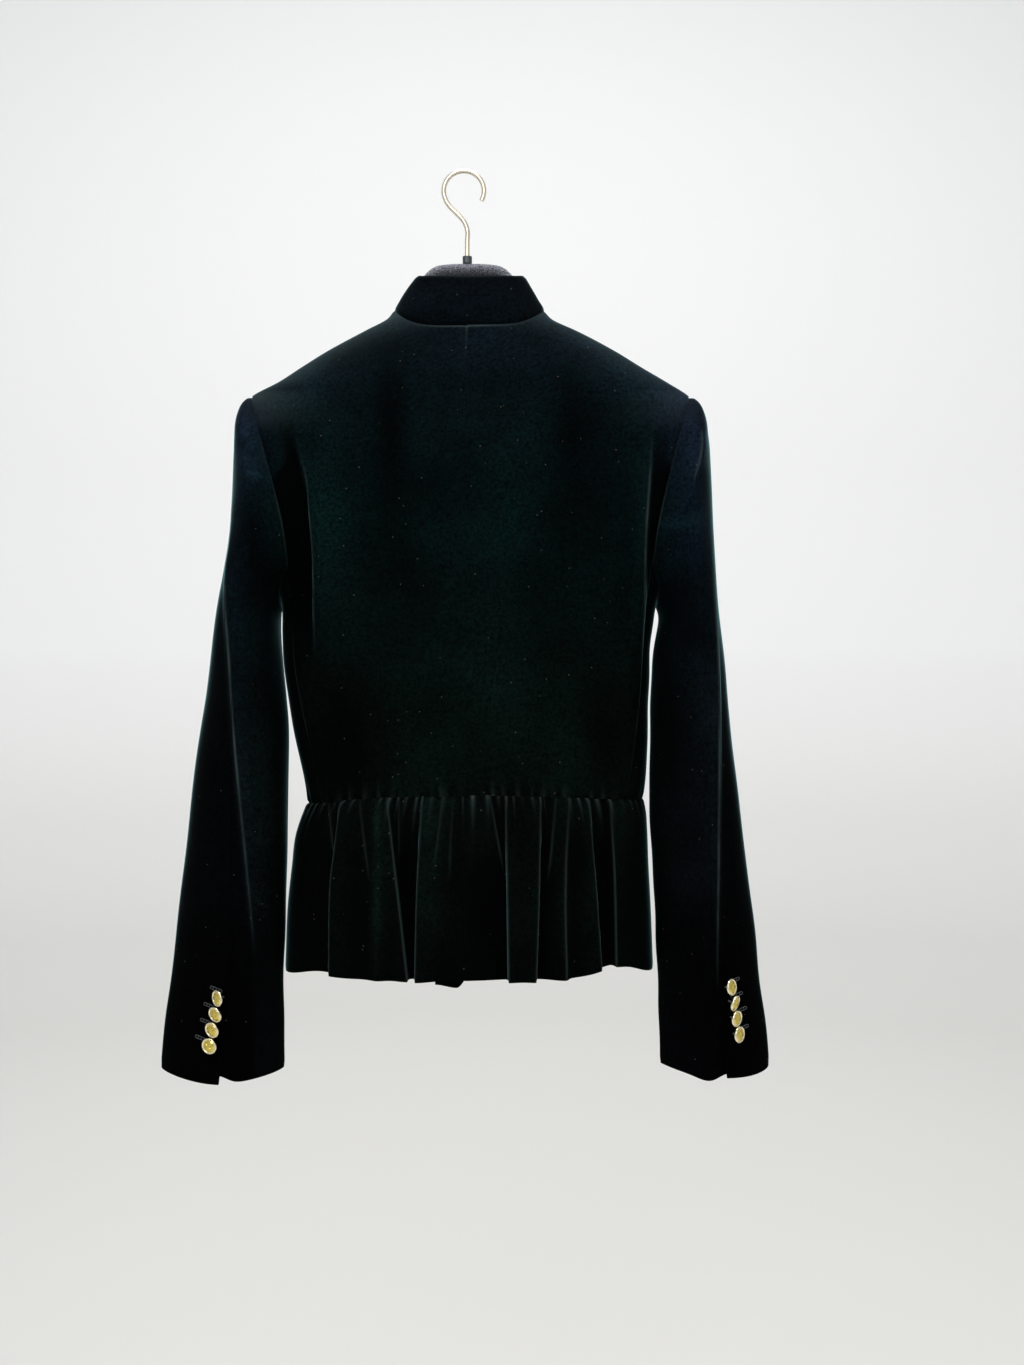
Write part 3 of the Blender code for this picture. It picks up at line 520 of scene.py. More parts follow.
def shell(name, points, painted_shading, painted_sheen, core_x, wall, node, raw_edge=True):
    """A thin cloth piece through a grid of points, with its velvet outside and its reverse inside.

    Of the two values given for each point, the first is painted light and shade: how light the pile is
    painted, darker in hollows and troughs and lighter on crests and shoulders; the second is a painted
    highlight along folds' edges and seams. A raw edge shows the reverse, a turned one the velvet.
    """
    rows, columns = points.shape[:2]
    normal = np.cross(points[1:, :-1] - points[:-1, :-1], points[:-1, 1:] - points[:-1, :-1])
    away = points[:-1, :-1, :2] - np.array([core_x, 0.0])
    if np.sum(normal[..., :2] * away) < 0:
        points = points[:, ::-1]
        painted_shading = painted_shading[:, ::-1]
        painted_sheen = painted_sheen[:, ::-1]
    spots = points.reshape(-1, 3) * MM
    spots[:, 0] += JACKET_X * MM
    index = np.arange(rows * columns).reshape(rows, columns)
    corners = [index[:-1, :-1], index[1:, :-1], index[1:, 1:], index[:-1, 1:]]
    quads = np.stack(corners, axis=2).reshape(-1, 4)
    mesh = bpy.data.meshes.new(name)
    mesh.from_pydata(spots.tolist(), [], quads.tolist())
    mesh.shade_smooth()
    for attribute, values in (("painted_shading", np.clip(painted_shading, 0.1, 3.0)), ("painted_sheen", np.clip(painted_sheen, 0.0, 1.0))):
        mesh.attributes.new(attribute, "FLOAT", "POINT").data.foreach_set("value", values.ravel())
    border = np.ones((rows, columns), bool)
    border[1:-1, 1:-1] = False
    ends = np.empty(len(mesh.edges) * 2, np.int32)
    mesh.edges.foreach_get("vertices", ends)
    sharp = border.ravel()[ends].reshape(-1, 2).all(axis=1)
    mesh.attributes.new("sharp_edge", "BOOLEAN", "EDGE").data.foreach_set("value", sharp)
    mesh.materials.append(velvet)
    mesh.materials.append(reverse)
    piece = placed(name, mesh)
    thick = piece.modifiers.new("cloth_wall", "SOLIDIFY")
    thick.thickness = wall * MM
    thick.offset = -1.0
    thick.material_offset = 1
    thick.material_offset_rim = 1 if raw_edge else 0
    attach(piece, "root")
    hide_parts(node)
    return piece


for side in (LEFT, RIGHT):
    points = panel_points(side, BACK)
    x, z = points[..., 0], points[..., 2]
    from_middle, from_edge = reach(points, 1)
    from_neck, from_waist = reach(points, 0)
    tuck = MIDDLE_TUCK[0] + MIDDLE_TUCK[1] * np.exp(-from_neck / MIDDLE_TUCK[2])
    lift = seam_dip(from_middle, tuck, 1.4) + seam_dip(from_edge) + seam_dip(from_neck, 0.8, 2.0)
    quiet = smooth(0.0, CREASES_OFF_EDGE, from_edge)
    creased = sum(crease(x, z, row) for row in BACK_CREASES) * quiet
    # Painted light on the creases' crests and painted shade in the troughs and creases' hollows, with patches
    # of painted light and shade
    painted_shading = paint_light_and_shade(1.0 + PAINTED_SHADING_GAIN["crease"] * creased - PAINTED_SHADING_GAIN["trough"] * back_fold(x, z), x, z, BACK_PAINTED_LIGHT_AND_SHADE)
    # Painted shade in the hollow by the armhole, and painted light along the shoulders as from above
    beyond = side * (x - crease_line(LONG_CREASE[side], z)[0])
    first, last = HOLLOW_SHADE[side]
    hollow_shade = smooth(*HOLLOW_INNER, beyond) * smooth(first, first - HOLLOW_FADES[0], z)
    hollow_shade = hollow_shade * (1.0 - smooth(last + HOLLOW_FADES[1], last, z))
    reached = HOLLOW_WIDTHS[0] + (HOLLOW_WIDTHS[1] - HOLLOW_WIDTHS[0]) * smooth(*HOLLOW_WIDENS, z)
    hollow_shade = hollow_shade * (1.0 - smooth(reached, reached + HOLLOW_OUTER, beyond))
    painted_shoulder_light = PAINTED_SHOULDER_LIGHT[side] * hump(from_edge, PAINTED_SHOULDER_LIGHT_WIDTH) * smooth(*PAINTED_SHOULDER_LIGHT_LEVELS, z)
    painted_shading = painted_shading * (1.0 - PAINTED_SHADING_GAIN["hollow_shade"] * hollow_shade) * (1.0 + PAINTED_SHADING_GAIN["painted_shoulder_light"] * painted_shoulder_light)
    # Painted highlights along the long crease's crest, the shoulders, the long seam, the neck seam and the
    # top of the middle seam
    crest = crest_sheen_line(x, z, LONG_CREASE[side], LINE_WIDTHS["crest"], LONG_CREASE_ENDS[side])
    seam = hump(from_edge, LINE_WIDTHS["seam"]) * smooth(*SEAM_SHOWS[side], z)
    neck = hump(from_neck - NECK_LINE_OFF, LINE_WIDTHS["neck"]) * hump(x, NECK_LINE_REACH)
    middle = hump(from_middle, LINE_WIDTHS["middle"]) * np.exp(-from_neck / MIDDLE_LINE_REACH)
    painted_sheen = PAINTED_SHEEN["crest"] * crest + PAINTED_SHEEN["painted_shoulder_light"] * painted_shoulder_light + PAINTED_SHEEN["seam"] * seam
    painted_sheen = painted_sheen + PAINTED_SHEEN["neck"] * neck + PAINTED_SHEEN["middle"] * middle
    lift = lift + creased + BACK_WAVES[0] * undulate(x, z, BACK_WAVES[1], 11 + side) * quiet
    height, pitch, fade = BACK_GATHERS
    gather = undulate(x, z * GATHER_DRAWN_OUT, pitch, 31 + side)
    gather = gather * smooth(0.0, GATHERS_OFF_MIDDLE, from_middle)
    lift = lift + waist_gathers(gather, height, fade, from_waist)
    # Painted highlight on the gathers' crests, and painted light and shade over the gathers
    painted_sheen = painted_sheen + PAINTED_SHEEN["gather"] * np.clip(gather, 0.0, 1.0) ** 2 * np.exp(-from_waist / GATHER_PAINTED_SHEEN_FADE)
    painted_shading = painted_shading * (1.0 + PAINTED_SHADING_GAIN["gather"] * np.clip(gather, -1.0, 1.0) * np.exp(-from_waist / fade))
    points = points + outward(points, 0.0) * lift[..., None]
    word = SIDE_NAMES[side]
    shell(f"velvet_back_{word}", points, painted_shading, painted_sheen, 0.0, BODY_WALL, f"back_{word}")

# Side panels: a narrow piece under each arm, from the bottom of the armhole to the waist,
# sewn to the back and the front along curved seams.
UNDERARM_Z = -375.0
ARMHOLE_SEAM_Z = -345.0
SIDE_CELLS = (60, 40)
# Waves and gathers, as on the back
SIDE_WAVES = (0.4, 70.0)
SIDE_GATHERS = (0.8, 9.0, 8.0)
# Painted light and shade on the side panels: their level, and how much lighter raised cloth and darker sunk
# cloth is painted
SIDE_PAINTED_SHADING = (0.6, 0.2)


def side_turn(side, z, across):
    """A point of the side panel: across runs from the back seam (-1) to the front (+1)."""
    width = half_width(side, z)
    seam = np.arcsin((edge_x(side, z) / width) ** (ROUNDNESS / 2))
    turn = np.pi / 2 - np.abs(across) * (np.pi / 2 - seam)
    deep = np.where(across < 0, -half_depth(BACK, z), half_depth(FRONT, z))
    return width * np.sin(turn) ** (2 / ROUNDNESS), deep * np.abs(np.cos(turn)) ** (2 / ROUNDNESS)


for side in (LEFT, RIGHT):
    across = np.linspace(-1.0, 1.0, SIDE_CELLS[1] + 1)[None]
    top = UNDERARM_Z + (ARMHOLE_SEAM_Z - UNDERARM_Z) * across ** 2
    edge_ratio = edge_x(side, WAIST_SIDE_Z[side]) / half_width(side, WAIST_SIDE_Z[side])
    ratio = 1.0 - (1.0 - edge_ratio) * across ** 2
    low = np.where(across < 0, waist_z(side, BACK, ratio), waist_z(side, FRONT, ratio))
    z = top + (low - top) * np.linspace(0.0, 1.0, SIDE_CELLS[0] + 1)[:, None]
    x, y = side_turn(side, z, np.broadcast_to(across, z.shape))
    points = np.stack([side * x, y, z], axis=2)
    from_back, from_front = reach(points, 1)
    from_waist = reach(points, 0)[1]
    lift = seam_dip(from_back) + seam_dip(from_front)
    lift = lift + SIDE_WAVES[0] * undulate(y, z, SIDE_WAVES[1], 5 + side)
    height, pitch, fade = SIDE_GATHERS
    lift = lift + waist_gathers(undulate(y, z * GATHER_DRAWN_OUT, pitch, 41 + side), height, fade, from_waist)
    points = points + outward(points, 0.0) * lift[..., None]
    word = SIDE_NAMES[side]
    # Painted light and shade: lighter where the cloth stands out, darker where it sinks
    painted_shading = SIDE_PAINTED_SHADING[0] + SIDE_PAINTED_SHADING[1] * lift
    shell(f"velvet_side_{word}", points, painted_shading, np.zeros_like(painted_shading), 0.0, BODY_WALL, f"side_{word}")

# Fronts: two plain panels, the wearer's right lapping over the left, closed by fastenings hidden under
# the lap. The photograph doesn't show this side, so only soft folds from the shoulders are added.
FRONT_CREASES = (
    (-128, -235, -117, -312, -116, -395, 2.6, 4, 16),
    (133, -240, 121, -338, 117, -430, 2.6, 16, 4),
    (-66, -230, -70, -360, -80, -520, -2.4, 20, 24),
    (72, -230, 74, -360, 84, -520, -2.4, 24, 20),
    (-30, -300, -36, -400, -40, -500, -1, 16, 12),
    (44, -300, 48, -410, 46, -510, -1, 12, 16),
)
FRONT_WAVES = (0.5, 110.0)
FRONT_GATHERS = (0.7, 10.0, 8.0)
# Painted highlight along the crests of the two shoulder creases: its strength, then its width and how sharply
# it ends
FRONT_PAINTED_SHEEN = 0.3
FRONT_LINE = (0.9, 1.8)
FRONT_CREASES_OFF = {"edge": 14.0, "middle": 30.0}
FRONT_CUTS = {LEFT: ((0.21, 0.44), 0.064), RIGHT: ((0.246, 0.44), 0.077)}
for side in (LEFT, RIGHT):
    points = panel_points(side, FRONT)
    x, z = points[..., 0], points[..., 2]
    from_middle, from_edge = reach(points, 1)
    from_neck, from_waist = reach(points, 0)
    lift = seam_dip(from_middle, 0.5, 1.6) + seam_dip(from_edge) + seam_dip(from_neck, 0.8, 2.0)
    quiet = smooth(0.0, FRONT_CREASES_OFF["edge"], from_edge)
    quiet = quiet * smooth(0.0, FRONT_CREASES_OFF["middle"], from_middle)
    creased = sum(crease(x, z, row) for row in FRONT_CREASES) * quiet
    # Painted highlight along the crests of the two shoulder creases
    painted_sheen = FRONT_PAINTED_SHEEN * sum(crest_sheen_line(x, z, row, *FRONT_LINE) for row in FRONT_CREASES[:2])
    lift = lift + creased + FRONT_WAVES[0] * undulate(x, z, FRONT_WAVES[1], 61 + side) * quiet
    height, pitch, fade = FRONT_GATHERS
    lift = lift + waist_gathers(undulate(x, z * GATHER_DRAWN_OUT, pitch, 71 + side), height, fade, from_waist)
    points = points + outward(points, 0.0) * lift[..., None]
    word = SIDE_NAMES[side]
    flat, area = FRONT_CUTS[side]
    # Painted light on the creases' crests and painted shade in their hollows
    painted_shading = 1.0 + PAINTED_SHADING_GAIN["crease"] * creased
    shell(f"velvet_front_{word}", points, painted_shading, painted_sheen, 0.0, BODY_WALL, f"front_{word}")

# Stand collar: one doubled strip of velvet, sewn round the neck and meeting at the centre front.
# It stands up stiffly at the back and leans in towards its upper edge.
COLLAR_COLUMNS = ("turn", "x", "y", "z")
COLLAR_TOP = np.array([
    (0, 0, -41, -99.5), (0.18, 22, -40, -99), (0.32, 39, -35, -98), (0.42, 45, -22, -94.5),
    (0.50, 46.5, -6, -91.5), (0.62, 46, 15, -95), (0.76, 37, 40, -115), (0.90, 17, 56, -139),
    (1, 0, 60, -148),
])
COLLAR_WALL = 2.8
COLLAR_END = 0.3
COLLAR_X = 2.2
COLLAR_TUCK = 1.5
COLLAR_CELLS = (28, 110)
NECK_STEPS = 120
COLLAR_CROWN = 1.2
COLLAR_WAVES = (0.35, 60.0)
# Painted highlight along the collar's folded top edge and its width, then the collar's level of painted light
# and shade and how much lighter raised cloth is painted
COLLAR_PAINTED_SHEEN = 0.25
COLLAR_LINE_WIDTH = 1.2
COLLAR_PAINTED_SHADING = (0.5, 0.1)


def neck_line(face, side):
    """The neck edge of a panel, from the middle of its face to the shoulder."""
    inner_z = ROWS[0, ROW_COLUMNS.index(FACE_NAMES[face])]
    across = np.sin(np.linspace(0.0, 1.0, NECK_STEPS) * np.pi / 2)
    x = across * half_width(side, ROWS[0, 0])
    z = inner_z + (ROWS[0, 0] - inner_z) * across ** (BACK_NECK_SWEEP if face == BACK else NECK_SWEEP)
    y = body_y(side, face, x, z)
    y[-1] = 0.0
    return np.stack([side * x, y, z], axis=1)


low_half, high_half = {}, {}
for side in (LEFT, RIGHT):
    line = np.concatenate([neck_line(BACK, side), neck_line(FRONT, side)[-2::-1]])
    run = np.concatenate([[0.0], np.cumsum(np.linalg.norm(np.diff(line, axis=0), axis=1))])
    at = np.linspace(0.0, run[-1], COLLAR_CELLS[1] // 2 + 1)
    low = np.stack([np.interp(at, run, line[:, k]) for k in range(3)], axis=1)
    turn = np.linspace(0.0, 1.0, COLLAR_CELLS[1] // 2 + 1)
    high = np.stack([read(COLLAR_TOP, COLLAR_COLUMNS, name, turn) for name in ("x", "y", "z")], axis=1)
    high[:, 0] = high[:, 0] * side + COLLAR_X
    low[-1, 0] = high[-1, 0] = side * COLLAR_END
    low_half[side], high_half[side] = low, high
low = np.concatenate([low_half[LEFT][::-1], low_half[RIGHT][1:]])
high = np.concatenate([high_half[LEFT][::-1], high_half[RIGHT][1:]])
rise = high - low
low = low - COLLAR_TUCK * rise / np.linalg.norm(rise, axis=1)[:, None]
steps = np.linspace(0.0, 1.0, COLLAR_CELLS[0] + 1)[:, None, None]
points = low[None] * (1.0 - steps) + high[None] * steps
from_neck, from_top = reach(points, 0)
along = reach(points, 1)[0]
lift = seam_dip(from_neck) + seam_dip(from_top, 0.9, 2.0) + COLLAR_CROWN * np.sin(np.pi * steps[..., 0])
lift = lift + COLLAR_WAVES[0] * undulate(along, from_neck, COLLAR_WAVES[1], 3)
points = points + outward(points, 0.0) * lift[..., None]
# Painted light and shade over the collar, lighter where it stands out, and a painted highlight along its top
# edge
painted_shading = COLLAR_PAINTED_SHADING[0] + COLLAR_PAINTED_SHADING[1] * lift
painted_sheen = COLLAR_PAINTED_SHEEN * hump(from_top, COLLAR_LINE_WIDTH)
shell("velvet_collar", points, painted_shading, painted_sheen, 0.0, COLLAR_WALL, "collar",
      raw_edge=False)

# Sleeves: a top and an under piece each, set into the armholes with a slightly roped head,
# joined at the forearm and the hindarm, and left open below the hindarm seam as a cuff vent.
SLEEVE_COLUMNS = ("z", "outer", "inner", "depth", "lean")
SLEEVES = {
    LEFT: np.array([
        (-190, 194, 130, 22, 0), (-200, 199, 131, 34, 0), (-212, 201, 133, 43, 0),
        (-235, 202, 137, 54, 0), (-265, 203, 143, 62, 0), (-312, 205.5, 153, 69, 0),
        (-345, 209.5, 159, 71, 0), (-378, 214, 164, 71, 2), (-428, 221, 162.5, 66, 3),
        (-455, 226, 160, 63, 1), (-480, 230.5, 157.5, 60, 0), (-535, 239, 157.5, 52, -3),
        (-591, 246, 158, 44, -5), (-646, 252.7, 159.5, 36, -7), (-702, 259, 160.5, 29, -8.5),
        (-758, 266, 160, 23, -3.5), (-790, 268.5, 159.5, 21, 0),
    ]),
    RIGHT: np.array([
        (-190, 200, 132, 22, 0), (-200, 204.5, 133, 34, 0), (-212, 206.5, 135, 43, 0),
        (-235, 208.5, 140, 54, 0), (-265, 210, 146, 62, 0), (-312, 211, 156, 69, 2),
        (-345, 211.5, 161.5, 71, 4), (-378, 213, 165.5, 71, 6), (-428, 218, 160.5, 66, 8),
        (-455, 221, 159, 63, 8), (-480, 224.5, 158.5, 60, 8), (-535, 232, 157.5, 52, 7),
        (-591, 240, 160, 44, 5), (-646, 247, 162.5, 36, 3), (-702, 253.5, 164.5, 29, 2.5),
        (-758, 259.7, 166.5, 23, 6.5), (-790, 261, 167, 21, 9),
    ]),
}
SLEEVE_STEPS = (0.0, 0.008, 0.02, 0.045, 0.08, 0.13, 0.2, 0.29, 0.39, 0.5, 0.62, 0.74, 0.87, 1.0)
# Patches of painted light and shade on the sleeve's back side, as on the back
SLEEVE_PAINTED_LIGHT_AND_SHADE = {
    LEFT: ((-182, -225, 20, 40, 1.5), (-176, -270, 8, 4, 0.9), (-187, -228, 3, 8, 0.9),
           (-194, -300, 9, 34, 0.6), (-176, -330, 8, 60, -0.3),
           (-178, -400, 14, 40, 0.2), (-170, -560, 8, 70, 0.5), (-182, -640, 12, 30, 0.6)),
    RIGHT: ((186, -232, 9, 34, 0.7), (172, -310, 10, 5, 0.9), (203, -262, 5, 22, -0.6),
            (178, -250, 9, 30, -0.3), (192, -300, 9, 20, 0.5),
            (184, -330, 16, 30, 0.3), (190, -600, 12, 24, 0.8), (200, -710, 40, 60, -0.6),
            (172, -480, 10, 60, -0.3)),
}
SLEEVE_CELLS = (120, 110)
SLEEVE_WALL = 1.6
ARMHOLE_TUCK = 0.8
CAP_SPREAD = 0.045
HEAD_ROLL = 4.0
HEAD_ROLL_AT = 0.014
CUFF_Z = {LEFT: -777.0, RIGHT: -774.0}
CUFF_DIP = 9.0
VENT_LENGTH = 92.0
# How far the cuff's corners at the vent are moved up: on the top piece, on the under piece and beside it
VENT_CORNERS = {LEFT: (-1.6, 5.5, -0.5), RIGHT: (1.1, 5.0, -3.0)}
VENT_CORNER_HEIGHT = 30.0
VENT_CORNER_WIDTHS = (26.0, 10.0, 13.0)
VENT_BESIDE_AT = 16.0
VENT_EASE = 20.0
# How far the top piece stands off at the open vent and the under piece sinks in, and how soon that fades
VENT_LIFT = (0.7, 9.0)
VENT_SINK = (0.8, 6.0)
# Angles round the tube of the seam at the hindarm and, for each piece, of that at the forearm, then its cut
HINDARM = 90.0
SLEEVE_PIECES = {"top": (-90.0, (0.175, 0.60), 0.085), "under": (270.0, (0.175, 0.51), 0.070)}
SLEEVE_WAVES = (0.6, 90.0)
# How deep the hindarm seam turns in, how much deeper it does lower down, and the levels between
HIND_TUCK = (0.2, 0.5)
HIND_TUCK_LEVELS = (-330.0, -480.0)
# How far the creases keep off the armhole and the cuff, and how softly the back side turns to the far one
SLEEVE_CREASES_OFF = {"armhole": 18.0, "cuff": 60.0}
BACK_SIDE_EASE = 8.0
# Painted highlights: strength, then the widths of the crests' lines, reach and levels of the painted light on
# the sleeve head, distance and width of the armhole's line, its unevenness and its levels
SLEEVE_PAINTED_SHEEN = {"crest": 0.8, "head": 0.1, "seam": 0.2, "seam_uneven": 0.12}
CREST_WIDTHS = (0.75, 0.8)
HEAD_PALE_REACH = 26.0
HEAD_PALE_LEVELS = (-235.0, -200.0)
ARMHOLE_LINE = (1.2, 0.8)
ARMHOLE_LINE_WAVE = 13.0
ARMHOLE_LINE_LEVELS = (-225.0, -262.0)
# Painted shade on the cloth behind the long crease, which turns away from the light: how much, how soon, and
# the levels between which it starts
BEHIND_CREASE_SHADE = 0.65
BEHIND_CREASE_EASE = 5.0
BEHIND_CREASE_LEVELS = (-360.0, -520.0)
# Creases on the side that faces away: those of the other side, moved down and made lower
FAR_MOVED = np.array((0, -20, 0, -24, 0, -20, 0, 0, 0))
FAR_HEIGHT = 0.8
# Creases on the side that the photograph shows, as on the back
SLEEVE_CREASES = {
    LEFT: (
        (-198, -275, -193.5, -470, -181, -675, 5, 3, 15),
        (-176, -420, -178, -455, -181, -492, -1.8, 5, 4),
        (-190, -235, -184, -250, -172, -262, -1.6, 8, 8),
        (-186, -290, -192, -318, -190, -350, -1.4, 10, 6),
    ),
    RIGHT: (
        (205, -350, 209, -520, 213, -705, 5, 15, 3),
        (199, -226, 195, -252, 189, -276, 2.4, 4, 8),
        (188, -288, 184, -305, 176, -318, -2, 4, 6),
        (190, -420, 186, -470, 188, -520, -1.4, 12, 9),
        (196, -540, 190, -580, 192, -630, -1.4, 9, 12),
    ),
}


def armhole(side, turn):
    """The armhole's edge; turn is 0 at the shoulder, a right angle at the back."""
    face = BACK if math.sin(turn) >= 0 else FRONT
    z = SHOULDER_Z + (UNDERARM_Z - SHOULDER_Z) * (1.0 - math.cos(turn)) / 2
    if z >= ARMHOLE_SEAM_Z:
        x = edge_x(side, z)
        y = body_y(side, face, x, z)
    else:
        across = math.sqrt((z - UNDERARM_Z) / (ARMHOLE_SEAM_Z - UNDERARM_Z))
        x, y = side_turn(side, z, np.float64(face * across))
    return float(x) - ARMHOLE_TUCK, float(y), z


def sleeve_sizes(side, z):
    """Outer and inner edge, depth and lean of a sleeve at a level."""
    return [read(SLEEVES[side], SLEEVE_COLUMNS, name, z) for name in SLEEVE_COLUMNS[1:]]


def sleeve_point(side, turn, z):
    """Where the sleeve's tube is at an angle and a level."""
    outer, inner, deep, lean = sleeve_sizes(side, z)
    middle = (outer + inner) / 2
    x = middle + (outer - middle) * np.cos(turn) + lean * np.maximum(np.sin(turn), 0.0)
    return x, -deep * np.sin(turn)


def sleeve_points(side, first, last):
    """A fine grid over one sleeve piece between two angles round its tube, armhole to cuff."""
    ease = (1.0 - np.cos(np.pi * np.linspace(0.0, 1.0, SLEEVE_CELLS[1] + 1))) / 2
    turns = np.radians(first + (last - first) * ease)
    count = np.linspace(0.0, len(SLEEVE_STEPS) - 1.0, SLEEVE_CELLS[0] + 1)
    steps = np.interp(count, np.arange(len(SLEEVE_STEPS)), SLEEVE_STEPS)
    blend = 1.0 - (1.0 - np.minimum(steps / CAP_SPREAD, 1.0)) ** 3
    roll = hump(steps - HEAD_ROLL_AT, HEAD_ROLL_AT) * smooth(0.0, HEAD_ROLL_AT / 2, steps)
    points = np.zeros((len(steps), len(turns), 3))
    for j, turn in enumerate(turns):
        top_x, top_y, top_z = armhole(side, turn)
        bottom = CUFF_Z[side] - CUFF_DIP * max(math.sin(turn), 0.0) ** 2
        z = top_z + (bottom - top_z) * steps
        x, y = sleeve_point(side, turn, z)
        points[:, j, 0] = side * (top_x * (1.0 - blend) + x * blend)
        points[:, j, 1] = top_y * (1.0 - blend) + y * blend
        points[:, j, 2] = z + HEAD_ROLL * roll * max(math.cos(turn), 0.0) ** 2
    return points


for side in (LEFT, RIGHT):
    word = SIDE_NAMES[side]
    core = side * float(np.mean(SLEEVES[side][:, 1:3]))
    long_crease = SLEEVE_CREASES[side][0]
    for piece, (forearm, flat, area) in SLEEVE_PIECES.items():
        points = sleeve_points(side, HINDARM, forearm)
        x, z = points[..., 0], points[..., 2]
        from_hind, from_fore = reach(points, 1)
        from_armhole, from_cuff = reach(points, 0)
        sewn = smooth(VENT_LENGTH - VENT_EASE, VENT_LENGTH, from_cuff)
        tuck = HIND_TUCK[0] + HIND_TUCK[1] * smooth(*HIND_TUCK_LEVELS, z)
        lift = seam_dip(from_hind, tuck) * sewn + seam_dip(from_fore, 0.7)
        lift = lift + seam_dip(from_armhole, 1.0, 2.0) + seam_dip(from_cuff, 0.6, 2.0)
        towards_back = smooth(-BACK_SIDE_EASE, BACK_SIDE_EASE, -points[..., 1])
        quiet = smooth(0.0, SLEEVE_CREASES_OFF["armhole"], from_armhole)
        quiet = quiet * smooth(0.0, SLEEVE_CREASES_OFF["cuff"], from_cuff)
        creased = np.zeros_like(x)
        for row in SLEEVE_CREASES[side]:
            far_row = np.array(row, float) + FAR_MOVED
            far_row[6] *= FAR_HEIGHT
            creased = creased + crease(x, z, row) * quiet * towards_back
            creased = creased + crease(x, z, far_row) * quiet * (1.0 - towards_back)
        lift = lift + creased
        waves = undulate(from_hind, z, SLEEVE_WAVES[1], 81 + side + len(piece))
        lift = lift + SLEEVE_WAVES[0] * waves * quiet
        # Painted shade behind the long crease, painted light and shade on the creases, and patches of painted
        # light and shade
        behind_crease_shade = smooth(0.0, BEHIND_CREASE_EASE, side * (x - crease_line(long_crease, z)[0]))
        behind_crease_shade = behind_crease_shade * smooth(*BEHIND_CREASE_LEVELS, z)
        painted_shading = (1.0 + PAINTED_SHADING_GAIN["crease"] * creased) * (1.0 - BEHIND_CREASE_SHADE * behind_crease_shade)
        painted_shading = paint_light_and_shade(painted_shading, x, z, SLEEVE_PAINTED_LIGHT_AND_SHADE[side], towards_back)
        # Painted highlights along the crests, along the armhole seam and over the sleeve head
        crests = crest_sheen_line(x, z, long_crease, CREST_WIDTHS[0])
        if side == RIGHT:
            crests = crests + crest_sheen_line(x, z, SLEEVE_CREASES[side][1], CREST_WIDTHS[1])
        head = hump(from_armhole, HEAD_PALE_REACH) * smooth(*HEAD_PALE_LEVELS, z)
        uneven = SLEEVE_PAINTED_SHEEN["seam"] + SLEEVE_PAINTED_SHEEN["seam_uneven"] * np.sin(z / ARMHOLE_LINE_WAVE)
        seam = uneven * hump(from_armhole - ARMHOLE_LINE[0], ARMHOLE_LINE[1])
        seam = seam * smooth(*ARMHOLE_LINE_LEVELS, z)
        painted_sheen = (SLEEVE_PAINTED_SHEEN["crest"] * crests + seam) * towards_back + SLEEVE_PAINTED_SHEEN["head"] * head
        top_corner, under_corner, beside = VENT_CORNERS[side]
        if piece == "top":
            lift = lift + VENT_LIFT[0] * np.exp(-from_hind / VENT_LIFT[1]) * (1.0 - sewn)
            raised = top_corner * hump(from_hind, VENT_CORNER_WIDTHS[0])
        else:
            lift = lift - VENT_SINK[0] * np.exp(-from_hind / VENT_SINK[1]) * (1.0 - sewn)
            raised = under_corner * hump(from_hind, VENT_CORNER_WIDTHS[1])
            raised = raised + beside * hump(from_hind - VENT_BESIDE_AT, VENT_CORNER_WIDTHS[2])
        points[..., 2] += raised * hump(from_cuff, VENT_CORNER_HEIGHT)
        points = points + outward(points, core) * lift[..., None]
        name = f"sleeve_{word}_{piece}"
        shell(f"velvet_{name}", points, painted_shading, painted_sheen, core, SLEEVE_WALL, name)

# Peplum: four strips of velvet gathered into the waist seam, with a centre-back seam and side seams.
# The gathers are small puckers at the seam, which run together into larger folds towards the hem.
PEPLUM_COLUMNS = ("drop", "left", "right", "back", "front")
PEPLUM = np.array([
    (0, 138, 151, 72, 74), (14, 144, 154, 77, 79), (28, 148.5, 155, 80, 83),
    (56, 152, 156, 84, 88), (84, 155, 157.5, 87, 92), (146, 157.5, 160, 91, 97),
])
PEPLUM_LENGTH = 146.0
PEPLUM_WALL = 1.0
WAIST_TUCK = 2.0
WAIST_INSET = 2.4
WAIST_INSET_DEEP = 2.2
HEM_Z = {BACK: -685.0, FRONT: -710.0}
HEM_SIDE_Z = -690.0
HEM_LIFT = {LEFT: 6.0, RIGHT: 11.0}
HEM_LIFT_AT = 0.78
HEM_LIFT_WIDTH = 0.16
LAP_CORNER_DROP = 19.0
LAP_CORNER_RISE = 3.0
LAP_CORNER_FROM = 4.0
LAP_CORNER_TO = -14.0
PEPLUM_CELLS = {BACK: (72, 320), FRONT: (56, 200)}
